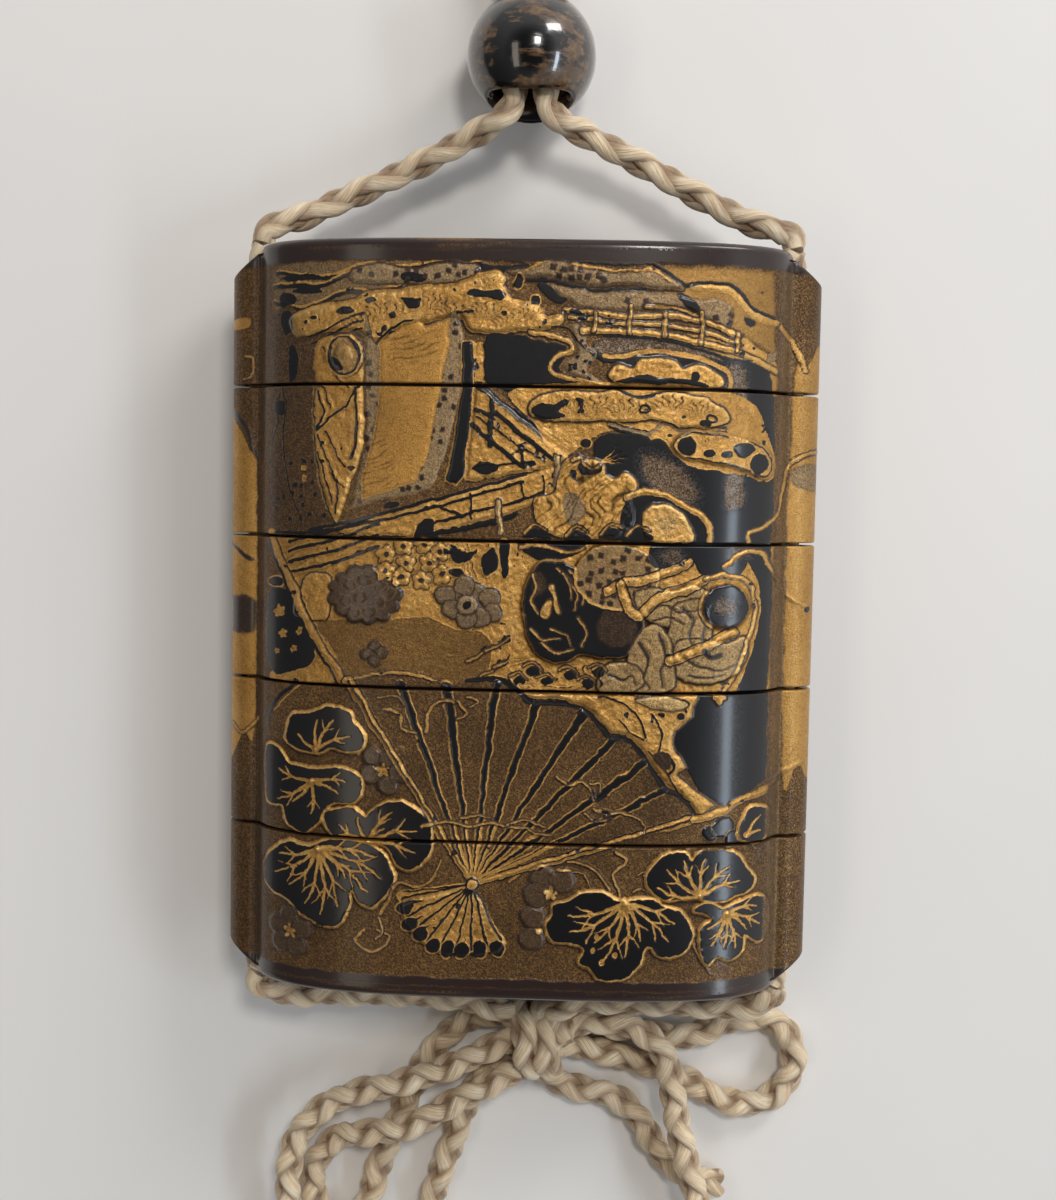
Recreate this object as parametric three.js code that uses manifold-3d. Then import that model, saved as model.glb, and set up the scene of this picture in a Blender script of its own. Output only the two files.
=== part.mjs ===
// Inro: a small stacked case of lacquered wood, worn on a silk cord.
// A lid and four cases nest on risers, two cord runners stand at the sides, and the
// cord is drawn through a bead above and tied in a bow below. Millimetres, +Z up.
// The case lies on its back: X is the width, +Y points to the lid, +Z to the picture.
import * as THREE from 'three';
import { mergeVertices } from 'three/addons/utils/BufferGeometryUtils.js';
import Module from 'manifold-3d';

const wasm = await Module();
wasm.setup();

// Body
const bodyHalfWidth = 27;
const bodyHalfThickness = 10.1;
const bodyHalfHeight = 37.4;
const widthPower = 3.45;
const thicknessPower = 2.36;
const backFlatHalfWidth = 7;
const endRounding = 0.7;
const midZ = bodyHalfThickness;
const seams = [23.2, 8.16, -6.47, -21.6];
const fitGap = 0.3;

// Cord runners
const runnerRadius = 3;
const runnerEndAtBody = 36.5;
const runnerEndOutside = 34.3;
const channelRadius = 1.95;

// Inside
const riserHalfWidth = 23.2;
const riserHalfThickness = 8.6;
const riserWall = 1.1;
const riserHeight = 4.2;
const floorThickness = 1.6;
const baseThickness = 2;

// Picture in low relief
const leafRise = 0.3;
const ribRise = 0.22;
const figureRise = 0.5;

// Cord and bead
const cordDiameter = 3.1;
const topCordDiameter = 2.9;
const beadRadius = 6.7;
const beadPlace = new THREE.Vector3(0, 57.7, 6.75);
const beadTilt = THREE.MathUtils.degToRad(24);
const beadStrandOffset = 1.62;
const knotPlace = new THREE.Vector3(2.7, -46.2, 4.1);
const knotHalfSize = new THREE.Vector3(4.3, 4.6, 3.8);

const lacquer = new THREE.MeshStandardMaterial({ color: 0x5f482d, roughness: 0.35, metalness: 0.35 });
const lacquerDark = new THREE.MeshStandardMaterial({ color: 0x2b2220, roughness: 0.25, metalness: 0.1 });
const silk = new THREE.MeshStandardMaterial({ color: 0xc8b291, roughness: 0.7, metalness: 0 });

// Solids: geometry to manifold and back
function toSolid(geometry) {
  const bare = geometry.clone();
  bare.deleteAttribute('normal');
  bare.deleteAttribute('uv');
  const merged = mergeVertices(bare, 1e-4);
  return new wasm.Manifold(new wasm.Mesh({
    numProp: 3,
    vertProperties: new Float32Array(merged.attributes.position.array),
    triVerts: new Uint32Array(merged.index.array),
  }));
}

function toGeometry(solid) {
  const mesh = solid.getMesh();
  const geometry = new THREE.BufferGeometry();
  geometry.setAttribute('position', new THREE.BufferAttribute(new Float32Array(mesh.vertProperties), 3));
  geometry.setIndex(new THREE.BufferAttribute(new Uint32Array(mesh.triVerts), 1));
  geometry.computeVertexNormals();
  return geometry;
}

function joinAll(solids) {
  return solids.reduce((sum, solid) => sum.add(solid));
}

// Cross-sections in X and Z, drawn about the middle of the thickness
function heightAt(x, halfWidth, halfThickness) {
  const reach = Math.min(Math.abs(x) / halfWidth, 1);
  return halfThickness * (1 - reach ** widthPower) ** (1 / thicknessPower);
}

function ovalShape(halfWidth, halfThickness, stops, flatBack) {
  const front = stops.map((stop) => stop * halfWidth);
  const points = [new THREE.Vector2(-halfWidth, 0)];
  const across = [...front.map((x) => -x).reverse(), ...front];
  across.forEach((x) => points.push(new THREE.Vector2(x, heightAt(x, halfWidth, halfThickness))));
  points.push(new THREE.Vector2(halfWidth, 0));
  across.reverse().forEach((x) => {
    const flat = flatBack && Math.abs(x) < backFlatHalfWidth;
    points.push(new THREE.Vector2(x, flat ? -halfThickness : -heightAt(x, halfWidth, halfThickness)));
  });
  return new THREE.Shape(points.reverse());
}

const outerStops = [0.25, 0.45, 0.61, 0.74, 0.84, 0.91, 0.96, 0.99];
const innerStops = [0.35, 0.64, 0.83, 0.94, 0.99];

// A section pushed along Y, from low to high
function alongY(shape, low, high, rounding = 0) {
  const geometry = new THREE.ExtrudeGeometry(shape, {
    depth: high - low - 2 * rounding,
    bevelEnabled: rounding > 0,
    bevelThickness: rounding,
    bevelSize: rounding,
    bevelOffset: -rounding,
    bevelSegments: 2,
    curveSegments: 10,
  });
  geometry.rotateX(Math.PI / 2);
  geometry.translate(0, high - rounding, midZ);
  return toSolid(geometry);
}

// An outline in the plane of the picture pushed along Z, from low to high
function alongZ(shape, low, high) {
  const geometry = new THREE.ExtrudeGeometry(shape, { depth: high - low, bevelEnabled: false, curveSegments: 6 });
  geometry.translate(0, 0, low);
  return toSolid(geometry);
}

function oval(halfWidth, halfThickness, low, high, rounding = 0) {
  return alongY(ovalShape(halfWidth, halfThickness, innerStops, false), low, high, rounding);
}

function slab(low, high) {
  const geometry = new THREE.BoxGeometry(80, high - low, 60);
  geometry.translate(0, (low + high) / 2, midZ);
  return toSolid(geometry);
}

// Outlines of the picture
function ringOutline(x, y, halfX, halfY, turn, steps, radiusAt) {
  const points = [];
  for (let i = 0; i < steps; i += 1) {
    const angle = (i / steps) * 2 * Math.PI;
    const radius = radiusAt(angle);
    const point = new THREE.Vector2(halfX * radius * Math.cos(angle), halfY * radius * Math.sin(angle));
    point.rotateAround(new THREE.Vector2(0, 0), turn);
    points.push(point.add(new THREE.Vector2(x, y)));
  }
  return new THREE.Shape(points);
}

function leaf(x, y, halfX, halfY, turn) {
  const lobes = 5;
  return ringOutline(x, y, halfX, halfY, turn, 4 * lobes, (a) => 0.8 + 0.2 * Math.cos(lobes * a));
}

function blossom(x, y, radius) {
  return ringOutline(x, y, radius, radius, Math.PI / 2, 15, (a) => 0.76 + 0.24 * Math.cos(5 * a));
}

function cloud(x, y, halfX, halfY, turn, lobes) {
  return ringOutline(x, y, halfX, halfY, turn, 3 * lobes, (a) => 0.92 + 0.08 * Math.cos(lobes * a));
}

function pebble(x, y, halfX, halfY, turn = 0) {
  return ringOutline(x, y, halfX, halfY, turn, 12, () => 1);
}

function bar(x0, y0, x1, y1, width, endWidth = width) {
  const along = new THREE.Vector2(x1 - x0, y1 - y0).normalize();
  const side = new THREE.Vector2(-along.y, along.x);
  const corner = (x, y, offset) => new THREE.Vector2(x, y).addScaledVector(side, offset / 2);
  return new THREE.Shape([
    corner(x0, y0, -width), corner(x1, y1, -endWidth), corner(x1, y1, endWidth), corner(x0, y0, width),
  ]);
}

function panel(...corners) {
  return new THREE.Shape(corners.map(([x, y]) => new THREE.Vector2(x, y)));
}

// The open fan: ribs spread from its pivot, longest at the guards
const fan = { x: -3.4, y: -25.7, ribs: 10, firstAngle: 123.3, lastAngle: 15.9, ribStart: 1.5, midReach: 19.6, guardReach: 22.9 };

function fanRibs() {
  const shapes = [];
  for (let i = 0; i < fan.ribs; i += 1) {
    const share = i / (fan.ribs - 1);
    const angle = THREE.MathUtils.degToRad(THREE.MathUtils.lerp(fan.firstAngle, fan.lastAngle, share));
    const reach = THREE.MathUtils.lerp(fan.midReach, fan.guardReach, (2 * share - 1) ** 2);
    const [dx, dy] = [Math.cos(angle), Math.sin(angle)];
    shapes.push(bar(fan.x + fan.ribStart * dx, fan.y + fan.ribStart * dy,
      fan.x + reach * dx, fan.y + reach * dy, 0.4, 0.9));
  }
  return shapes;
}

function fanTail() {
  const points = [new THREE.Vector2(fan.x, fan.y + 0.5)];
  for (let angle = 206; angle <= 306; angle += 20) {
    const turn = THREE.MathUtils.degToRad(angle);
    points.push(new THREE.Vector2(fan.x + 7.8 * Math.cos(turn), fan.y + 7.2 * Math.sin(turn)));
  }
  return new THREE.Shape(points);
}

const leaves = [
  leaf(-19.1, -11.0, 3.9, 3.4, 1.6), leaf(-19.9, -16.9, 4.8, 3.9, 1.2), leaf(-12.6, -21.4, 5.8, 3.4, 0.2),
  leaf(-19.3, -25.8, 6.3, 3.9, 0.1), leaf(10.6, -30.5, 7.2, 4.2, 0), leaf(19.5, -24.7, 5.7, 3.0, 0.1),
  leaf(21.6, -30.2, 3.9, 3.3, 1.9), leaf(20.6, -20.5, 2.2, 1.5, 0.4),
  blossom(-12.6, -14.6, 2.1), blossom(2.9, -25.4, 2.1), blossom(2.0, -30.2, 2.1), blossom(-22.0, -31.4, 2.1),
];

const gardens = [
  cloud(-14.7, 2.8, 3.7, 2.9, 0, 7), cloud(-9.6, 5.0, 4.2, 2.6, 0.1, 7), cloud(-4.4, 1.9, 3.3, 2.4, -0.5, 5),
  cloud(-9.6, 31.1, 11.6, 1.9, -0.03, 9), cloud(14.6, 24.9, 5.4, 1.2, -0.02, 7),
  cloud(9.4, 21.6, 8.2, 1.2, -0.04, 9), cloud(17.0, 17.6, 7.8, 1.7, -0.2, 7), cloud(7.0, 11.6, 4.9, 3.0, -0.2, 7),
];

const house = [
  panel([-15.7, 29.6], [-14.6, 11.9], [-8.5, 14.0], [-7.6, 22.7], [-6.7, 29.6]),
  bar(-4.0, 27.3, -6.1, 13.4, 0.9), bar(-20.6, 8.8, 5.0, 16.7, 0.7), bar(-16.4, 6.3, 4.1, 14.0, 0.6),
  bar(-3.9, 22.2, 5.0, 16.9, 0.7), bar(-1.6, 20.6, -4.9, 15.4, 0.5), bar(-4.6, 19.4, 0.9, 15.6, 0.5),
  bar(3.8, 30.9, 23.8, 25.7, 0.8), bar(5.0, 29.2, 21.6, 24.9, 0.5), bar(-24.0, 6.6, -16.3, -6.9, 1.1),
  panel([-18.6, 29.5], [-20.3, 15.0], [-18.0, 9.2], [-16.0, 14.5], [-15.9, 27.0]),
];

const figures = [
  pebble(4.4, 1.3, 3.4, 4.6, 0.1), pebble(10.2, 0.1, 2.9, 2.6), pebble(10.1, 4.8, 4.1, 3.1),
  pebble(14.9, 10.4, 3.1, 2.1), pebble(15.2, 2.6, 4.6, 1.7, 0.3), pebble(16.4, -2.6, 3.6, 3.2, 0.6),
  pebble(20.4, 2.3, 2.3, 2.2), pebble(20.0, -1.4, 3.6, 2.0, 0.6), bar(14.2, -6.4, 16.6, -12.6, 3.4, 1.6),
];

// Relief: the outlines where they meet a body that stands a little prouder
function relief(shapes, rise) {
  const proud = alongY(ovalShape(bodyHalfWidth + 0.3 * rise, bodyHalfThickness + rise, outerStops, false),
    -bodyHalfHeight + 1.5, bodyHalfHeight - 1.5);
  const outlines = joinAll(shapes.map((shape) => alongZ(shape, midZ + 2, midZ + 2 * bodyHalfThickness)));
  return outlines.intersect(proud);
}

// The whole outside, before it is parted at the seams
function runner(side) {
  const tube = new THREE.Shape().absarc(0, 0, runnerRadius, 0, 2 * Math.PI);
  const x = side * bodyHalfWidth;
  const round = alongY(tube, -runnerEndAtBody, runnerEndAtBody).translate([x, 0, 0]);
  const outside = side * (bodyHalfWidth + runnerRadius + 0.2);
  const inside = side * (bodyHalfWidth - runnerRadius - 0.2);
  const plan = [[outside, -runnerEndOutside], [x, -runnerEndAtBody], [inside, -runnerEndAtBody],
    [inside, runnerEndAtBody], [x, runnerEndAtBody], [outside, runnerEndOutside]];
  const outline = panel(...(side > 0 ? plan.reverse() : plan));
  return round.intersect(alongZ(outline, 0, 2 * bodyHalfThickness));
}

function channel(side) {
  const hole = new THREE.Shape().absarc(side * bodyHalfWidth, 0, channelRadius, 0, 2 * Math.PI);
  return alongY(hole, -bodyHalfHeight - 5, bodyHalfHeight + 5);
}

const outside = joinAll([
  alongY(ovalShape(bodyHalfWidth, bodyHalfThickness, outerStops, true), -bodyHalfHeight, bodyHalfHeight, endRounding),
  runner(-1), runner(1),
  relief([...leaves, ...gardens, fanTail()], leafRise),
  relief([...fanRibs(), ...house], ribRise),
  relief(figures, figureRise),
]).subtract(channel(-1)).subtract(channel(1));

const riserBoreHalfWidth = riserHalfWidth - riserWall;
const riserBoreHalfThickness = riserHalfThickness - riserWall;

// A case from its lower to its upper edge: hollow, with a riser that enters the piece above
function caseSolid(low, high, isBase) {
  const innerFloor = isBase ? low + baseThickness : low + riserHeight + fitGap + floorThickness;
  let solid = outside.intersect(slab(isBase ? low - 1 : low, high));
  solid = solid.add(oval(riserHalfWidth, riserHalfThickness, high - 2, high + riserHeight));
  solid = solid.subtract(oval(riserBoreHalfWidth, riserBoreHalfThickness, innerFloor, high + riserHeight + 5));
  return isBase ? solid : solid.subtract(socket(low, riserHeight + fitGap));
}

// The lid: closed on top, with one straight-sided hollow
function lidSolid(low) {
  const hollow = socket(low, bodyHalfHeight - baseThickness - low);
  return outside.intersect(slab(low, bodyHalfHeight + 1)).subtract(hollow);
}

function socket(low, depth) {
  return oval(riserHalfWidth + fitGap, riserHalfThickness + fitGap, low - 5, low + depth);
}

// Cord tubes along points chosen for each stretch
function tube(points, diameter, steps) {
  const path = new THREE.CatmullRomCurve3(points.map(([x, y, z]) => new THREE.Vector3(x, y, z)), false, 'centripetal');
  const section = new THREE.Shape();
  for (let i = 0; i < 8; i += 1) {
    const angle = ((i + 0.5) / 8) * 2 * Math.PI;
    const radius = diameter / 2;
    section[i === 0 ? 'moveTo' : 'lineTo'](radius * Math.cos(angle), radius * Math.sin(angle));
  }
  section.closePath();
  return toSolid(new THREE.ExtrudeGeometry(section, { steps, bevelEnabled: false, extrudePath: path }));
}

const channelEnd = 37.6;
const cordStart = channelEnd + fitGap + 0.1;
const floorLay = 1.6;

const routeLeftBranch = [
  [-27.0, cordStart, 10.1], [-27.0, 39.0, 10.05], [-25.7, 40.0, 9.6], [-22.8, 41.0, 8.8], [-19.6, 42.6, 8.1],
  [-16.0, 44.3, 7.6], [-12.1, 46.2, 7.4], [-8.3, 48.1, 7.8], [-5.0, 49.8, 8.6], [-2.9, 51.0, 9.3],
  [-1.8, 52.4, 9.1],
];
const routeBeadLeft = [[-beadStrandOffset, 55.0, 7.95], [-beadStrandOffset, 60.4, 5.55], [-1.7, 64.2, 3.7]];
const routeLoop = [[-2.9, 67.2, 2.4], [-5.0, 69.7, 1.75], [-6.3, 72.8, 1.6], [-5.2, 76.2, 1.6], [-2.1, 78.3, 1.6]];
const mirror = ([x, y, z]) => [-x, y, z];
const routeRightBranch = [
  [1.8, 52.4, 9.1], [2.9, 51.0, 9.3], [4.8, 50.0, 8.6], [7.8, 48.6, 7.8], [11.4, 46.9, 7.4], [15.0, 44.9, 7.6],
  [18.8, 42.8, 8.1], [22.4, 40.9, 8.8], [25.6, 39.9, 9.6], [27.0, 39.0, 10.05], [27.0, cordStart, 10.1],
];
const routeTop = [
  ...routeLeftBranch, ...routeBeadLeft, ...routeLoop,
  ...routeLoop.map(mirror).reverse(), ...routeBeadLeft.map(mirror).reverse(), ...routeRightBranch,
];

const routeUnderLeft = [
  [-27.0, -cordStart, 10.1], [-27.0, -39.0, 10.0], [-24.6, -40.5, 9.2], [-19.6, -40.8, 7.9],
  [-14.5, -41.0, 6.9], [-9.5, -41.3, 6.2], [-5.0, -41.8, 5.9], [-1.2, -42.9, 5.8], [1.5, -44.6, 5.6],
];
const routeUnderRight = [
  [27.0, -cordStart, 10.1], [27.0, -39.0, 10.0], [24.6, -40.5, 9.3], [19.4, -40.7, 8.4], [15.6, -40.8, 8.0],
  [12.0, -40.8, 7.8], [8.4, -40.9, 7.6], [5.6, -41.5, 7.3], [3.6, -42.9, 6.5], [2.4, -44.6, 5.6],
];
const routeOuterLoop = [
  [1.0, -45.8, 5.2], [-2.4, -47.1, 5.3], [-6.6, -49.3, 5.3], [-12.6, -51.5, 5.3], [-18.4, -53.2, 4.9],
  [-22.0, -55.6, 4.9], [-24.1, -59.0, 4.9], [-24.6, -62.4, 4.9], [-24.5, -66.2, 4.8], [-23.4, -70.4, 4.0],
  [-20.6, -74.0, 2.3], [-16.2, -75.2, floorLay], [-12.2, -72.8, floorLay], [-10.0, -68.4, floorLay],
  [-8.4, -63.6, floorLay], [-7.1, -59.8, floorLay], [-5.6, -55.4, floorLay], [-3.6, -51.8, floorLay],
  [-0.4, -48.8, 1.9],
];
const routeInnerLoop = [
  [0.8, -49.4, 5.1], [-2.4, -51.1, 5.3], [-6.8, -53.6, 5.2], [-11.2, -56.2, 5.2], [-15.4, -57.4, 4.3],
  [-19.0, -58.5, 2.7], [-21.2, -60.5, 1.8], [-22.4, -63.4, floorLay], [-22.0, -66.6, floorLay],
  [-19.6, -68.7, floorLay], [-17.0, -67.6, floorLay], [-15.7, -64.7, floorLay], [-14.9, -61.8, floorLay],
  [-13.6, -58.4, floorLay], [-11.7, -53.9, floorLay], [-9.7, -49.6, floorLay], [-7.0, -46.5, floorLay],
  [-3.8, -44.6, 1.7], [0.4, -44.6, 2.2],
];
const routeRightLoop = [
  [4.6, -45.2, 1.9], [8.4, -45.1, 1.7], [13.2, -46.0, floorLay], [17.4, -46.6, floorLay], [20.4, -45.9, floorLay],
  [23.2, -44.6, floorLay], [26.2, -44.0, floorLay], [29.0, -45.0, floorLay], [30.4, -47.6, floorLay],
  [30.0, -50.6, floorLay], [27.9, -53.0, floorLay], [24.8, -53.8, floorLay], [21.6, -52.9, floorLay],
  [18.2, -51.0, floorLay], [13.6, -49.4, floorLay], [8.8, -48.3, 1.7], [4.8, -47.4, 2.0],
];
const routeLongTail = [
  [3.4, -45.8, 5.2], [6.2, -44.5, 5.3], [8.6, -43.8, 5.3], [12.2, -44.2, 5.3], [15.3, -46.2, 5.2],
  [16.6, -48.8, 5.1], [17.2, -51.8, 5.1], [17.7, -54.6, 5.1], [18.4, -57.4, 5.2], [19.2, -60.4, 5.3],
  [20.1, -63.6, 5.2], [21.2, -67.0, 4.2], [22.4, -70.4, 2.4],
];
const routeShortTail = [
  [2.2, -48.6, 2.0], [4.1, -51.6, 1.7], [7.2, -52.7, floorLay], [10.4, -53.3, floorLay], [13.0, -55.0, floorLay],
  [14.9, -57.8, floorLay], [17.0, -60.6, floorLay], [19.8, -62.2, floorLay], [22.8, -62.9, floorLay],
];

// The knot's outer form, and the same form a fit gap larger to trim the tubes that end on it
function knotSolid(growth) {
  const ball = new THREE.SphereGeometry(1, 20, 12);
  ball.rotateX(Math.PI / 2);
  ball.scale(knotHalfSize.x + growth, knotHalfSize.y + growth, knotHalfSize.z + growth);
  ball.translate(knotPlace.x, knotPlace.y, knotPlace.z);
  return toSolid(ball);
}

const knotSpace = knotSolid(fitGap);
const bowTube = (points, steps) => tube(points, cordDiameter, steps).subtract(knotSpace);

// The bead: a ball with one bore, wide enough for two strands side by side
function beadSolid() {
  const profile = [];
  for (let i = 0; i <= 10; i += 1) {
    const angle = -Math.PI / 2 + (i / 10) * Math.PI;
    profile.push(new THREE.Vector2(beadRadius * Math.cos(angle), beadRadius * Math.sin(angle)));
  }
  profile[0].x = 0;
  profile[10].x = 0;
  const ball = toSolid(new THREE.LatheGeometry(profile, 20));
  const boreRadius = topCordDiameter / 2 + 0.4;
  const bore = new THREE.Shape();
  bore.absarc(-beadStrandOffset, 0, boreRadius, Math.PI / 2, 1.5 * Math.PI);
  bore.absarc(beadStrandOffset, 0, boreRadius, -Math.PI / 2, Math.PI / 2);
  const cut = new THREE.ExtrudeGeometry(bore, { depth: 20, bevelEnabled: false, curveSegments: 5 });
  cut.translate(0, 0, -10);
  cut.rotateX(Math.PI / 2);
  const flare = new THREE.CylinderGeometry(3.2, 5.6, 3.2, 20);
  flare.scale(1, 1, 0.6);
  flare.translate(0, -5.4, 0);
  return ball.subtract(toSolid(cut)).subtract(toSolid(flare));
}

// The named parts
const inro = new THREE.Group();

function addPart(name, solid, material, place, tilt = 0) {
  const mesh = new THREE.Mesh(toGeometry(solid), material);
  mesh.name = name;
  if (place) mesh.position.copy(place);
  mesh.rotation.x = tilt;
  inro.add(mesh);
}

const halfGap = fitGap / 2;
addPart('lid', lidSolid(seams[0] + halfGap), lacquer);
addPart('case_1', caseSolid(seams[1] + halfGap, seams[0] - halfGap, false), lacquer);
addPart('case_2', caseSolid(seams[2] + halfGap, seams[1] - halfGap, false), lacquer);
addPart('case_3', caseSolid(seams[3] + halfGap, seams[2] - halfGap, false), lacquer);
addPart('case_4', caseSolid(-bodyHalfHeight, seams[3] - halfGap, true), lacquer);
addPart('ojime_bead', beadSolid(), lacquerDark, beadPlace, -beadTilt);
addPart('cord_top', tube(routeTop, topCordDiameter, 28), silk);
for (const [name, x] of [['cord_in_left_channel', -bodyHalfWidth], ['cord_in_right_channel', bodyHalfWidth]]) {
  addPart(name, tube([[x, channelEnd, midZ], [x, 0, midZ], [x, -channelEnd, midZ]], cordDiameter, 1), silk);
}
addPart('cord_under_left', bowTube(routeUnderLeft, 6), silk);
addPart('cord_under_right', bowTube(routeUnderRight, 6), silk);
addPart('bow_knot', knotSolid(0), silk);
addPart('bow_outer_loop', bowTube(routeOuterLoop, 13), silk);
addPart('bow_inner_loop', bowTube(routeInnerLoop, 13), silk);
addPart('bow_right_loop', bowTube(routeRightLoop, 11), silk);
addPart('bow_long_tail', bowTube(routeLongTail, 6), silk);
addPart('bow_short_tail', bowTube(routeShortTail, 5), silk);

export default inro;
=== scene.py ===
import math
import bmesh
import bpy
import numpy as np
from mathutils import Matrix, Vector


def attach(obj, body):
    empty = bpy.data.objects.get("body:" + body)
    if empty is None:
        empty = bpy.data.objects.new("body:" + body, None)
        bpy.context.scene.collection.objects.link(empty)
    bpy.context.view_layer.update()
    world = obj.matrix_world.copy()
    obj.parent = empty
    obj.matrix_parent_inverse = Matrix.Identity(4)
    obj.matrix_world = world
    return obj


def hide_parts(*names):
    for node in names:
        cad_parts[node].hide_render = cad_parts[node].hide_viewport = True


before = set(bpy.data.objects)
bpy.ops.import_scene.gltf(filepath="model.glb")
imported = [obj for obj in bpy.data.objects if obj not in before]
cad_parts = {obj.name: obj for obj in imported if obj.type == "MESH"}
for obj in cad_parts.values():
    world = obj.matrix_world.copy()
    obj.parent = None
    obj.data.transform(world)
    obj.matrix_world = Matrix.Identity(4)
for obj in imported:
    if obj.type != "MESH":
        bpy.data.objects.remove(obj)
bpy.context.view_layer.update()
mm = 0.001
print("inro: frame loaded,", len(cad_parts), "nodes")


def linear(value):
    value /= 255
    return value / 12.92 if value <= 0.04045 else ((value + 0.055) / 1.055) ** 2.4


def tint(red, green, blue):  # a colour as a painter reads it, 0 to 255
    return (linear(red), linear(green), linear(blue), 1)


# Camera, straight above the picture and a little to the right
view = {
    "place": (8.53, 13.957, 186.688),
    "turn": (-0.0679, 0.0451, 0.018),
    "lens": 51.38,
}
cameraData = bpy.data.cameras.new("camera")
cameraData.lens = view["lens"]
cameraData.clip_start = 0.01
camera = bpy.data.objects.new("camera", cameraData)
camera.location = [value * mm for value in view["place"]]
camera.rotation_euler = view["turn"]
bpy.context.scene.collection.objects.link(camera)
bpy.context.scene.camera = camera


# Node trees: a wire is a socket that can be reckoned with
def named(sockets, name):
    if isinstance(name, int):
        return sockets[name]
    return next(socket for socket in sockets if name in (socket.identifier, socket.name))


class Wire:
    def __init__(self, bench, node, output=0):
        self.bench = bench
        self.node = node
        self.socket = named(node.outputs, output)

    def other(self, output):
        return Wire(self.bench, self.node, output)

    def reckon(self, operation, first, second=None, third=None):
        sides = [side for side in (first, second, third) if side is not None]
        vectors = [side for side in sides if isinstance(side, Wire) and side.socket.type == "VECTOR"]
        if not vectors:
            return self.bench.add("ShaderNodeMath", {"operation": operation}, dict(enumerate(sides)))
        if operation == "MULTIPLY" and len(vectors) == 1:
            number = next(side for side in sides if side is not vectors[0])
            return self.bench.add("ShaderNodeVectorMath", {"operation": "SCALE"}, {0: vectors[0], "Scale": number})
        return self.bench.add("ShaderNodeVectorMath", {"operation": operation}, dict(enumerate(sides)))

    def __add__(self, other):
        return self.reckon("ADD", self, other)

    def __radd__(self, other):
        return self.reckon("ADD", other, self)

    def __sub__(self, other):
        return self.reckon("SUBTRACT", self, other)

    def __rsub__(self, other):
        return self.reckon("SUBTRACT", other, self)

    def __mul__(self, other):
        return self.reckon("MULTIPLY", self, other)

    def __rmul__(self, other):
        return self.reckon("MULTIPLY", other, self)

    def __truediv__(self, other):
        return self.reckon("DIVIDE", self, other)

    def __pow__(self, other):
        return self.reckon("POWER", self, other)

    def __gt__(self, other):
        return self.reckon("GREATER_THAN", self, other)

    def sine(self):
        return self.reckon("SINE", self)

    def cosine(self):
        return self.reckon("COSINE", self)

    def least(self, other):
        return self.reckon("MINIMUM", self, other)

    def most(self, other):
        return self.reckon("MAXIMUM", self, other)

    def between(self, low, high):  # 0 below low, 1 above high, soft in between
        settings = {"interpolation_type": "SMOOTHSTEP"}
        return self.bench.add("ShaderNodeMapRange", settings, {"Value": self, "From Min": low, "From Max": high})


class Bench:
    def __init__(self, tree):
        self.tree = tree

    def add(self, kind, settings=None, inputs=None, output=0):
        node = self.tree.nodes.new(kind)
        for name, value in (settings or {}).items():
            if name == "stops":
                self.fillRamp(node.color_ramp, value)
            else:
                setattr(node, name, value)
        for name, value in (inputs or {}).items():
            socket = named(node.inputs, name)
            if isinstance(value, Wire):
                self.tree.links.new(value.socket, socket)
            else:
                socket.default_value = value
        return Wire(self, node, output) if node.outputs else node

    def fillRamp(self, ramp, stops):
        while len(ramp.elements) < len(stops):
            ramp.elements.new(1)
        for element, (place, value) in zip(ramp.elements, stops):
            element.position = place
            element.color = value

    def blend(self, factor, first, second):  # colours
        names = {"Factor_Float": factor, "A_Color": first, "B_Color": second}
        return self.add("ShaderNodeMix", {"data_type": "RGBA"}, names, "Result_Color")

    def noise(self, vector, scale, detail=2, roughness=0.5, distortion=0.0):
        values = {"Vector": vector, "Scale": scale, "Detail": detail, "Roughness": roughness, "Distortion": distortion}
        return self.add("ShaderNodeTexNoise", {}, values)

    def attribute(self, name, output="Fac"):
        return self.add("ShaderNodeAttribute", {"attribute_name": name}, {}, output)

    def place(self):
        return self.add("ShaderNodeTexCoord", {}, {}, "Object")

    def bump(self, height, strength, distance, normal=None):
        values = {"Height": height, "Strength": strength, "Distance": distance}
        if normal:
            values["Normal"] = normal
        return self.add("ShaderNodeBump", {}, values)


def newMaterial(name, build, **constants):
    material = bpy.data.materials.new(name)
    material.use_nodes = True
    bench = Bench(material.node_tree)
    bench.tree.nodes.clear()
    shader = bench.add("ShaderNodeBsdfPrincipled", {}, {**constants, **build(bench)})
    bench.add("ShaderNodeOutputMaterial", {}, {"Surface": shader})
    return material


def newMesh(name, points, faces, smooth=True):
    data = bpy.data.meshes.new(name)
    data.from_pydata([tuple(point) for point in points], [], faces)
    data.polygons.foreach_set("use_smooth", [smooth] * len(data.polygons))
    data.update()
    piece = bpy.data.objects.new(name, data)
    bpy.context.scene.collection.objects.link(piece)
    return piece


def settle(piece):  # its modifiers become its mesh
    depsgraph = bpy.context.evaluated_depsgraph_get()
    data = bpy.data.meshes.new_from_object(piece.evaluated_get(depsgraph), depsgraph=depsgraph)
    piece.modifiers.clear()
    piece.data = data
    data.name = piece.name


# Cord routes, in millimetres as the CAD has them
channelEnd = 37.6
cordStart = channelEnd + 0.4
floorLay = 1.6
strandOffset = 1.62


def mirrored(points):
    return [(-x, y, z) for x, y, z in reversed(points)]


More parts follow.
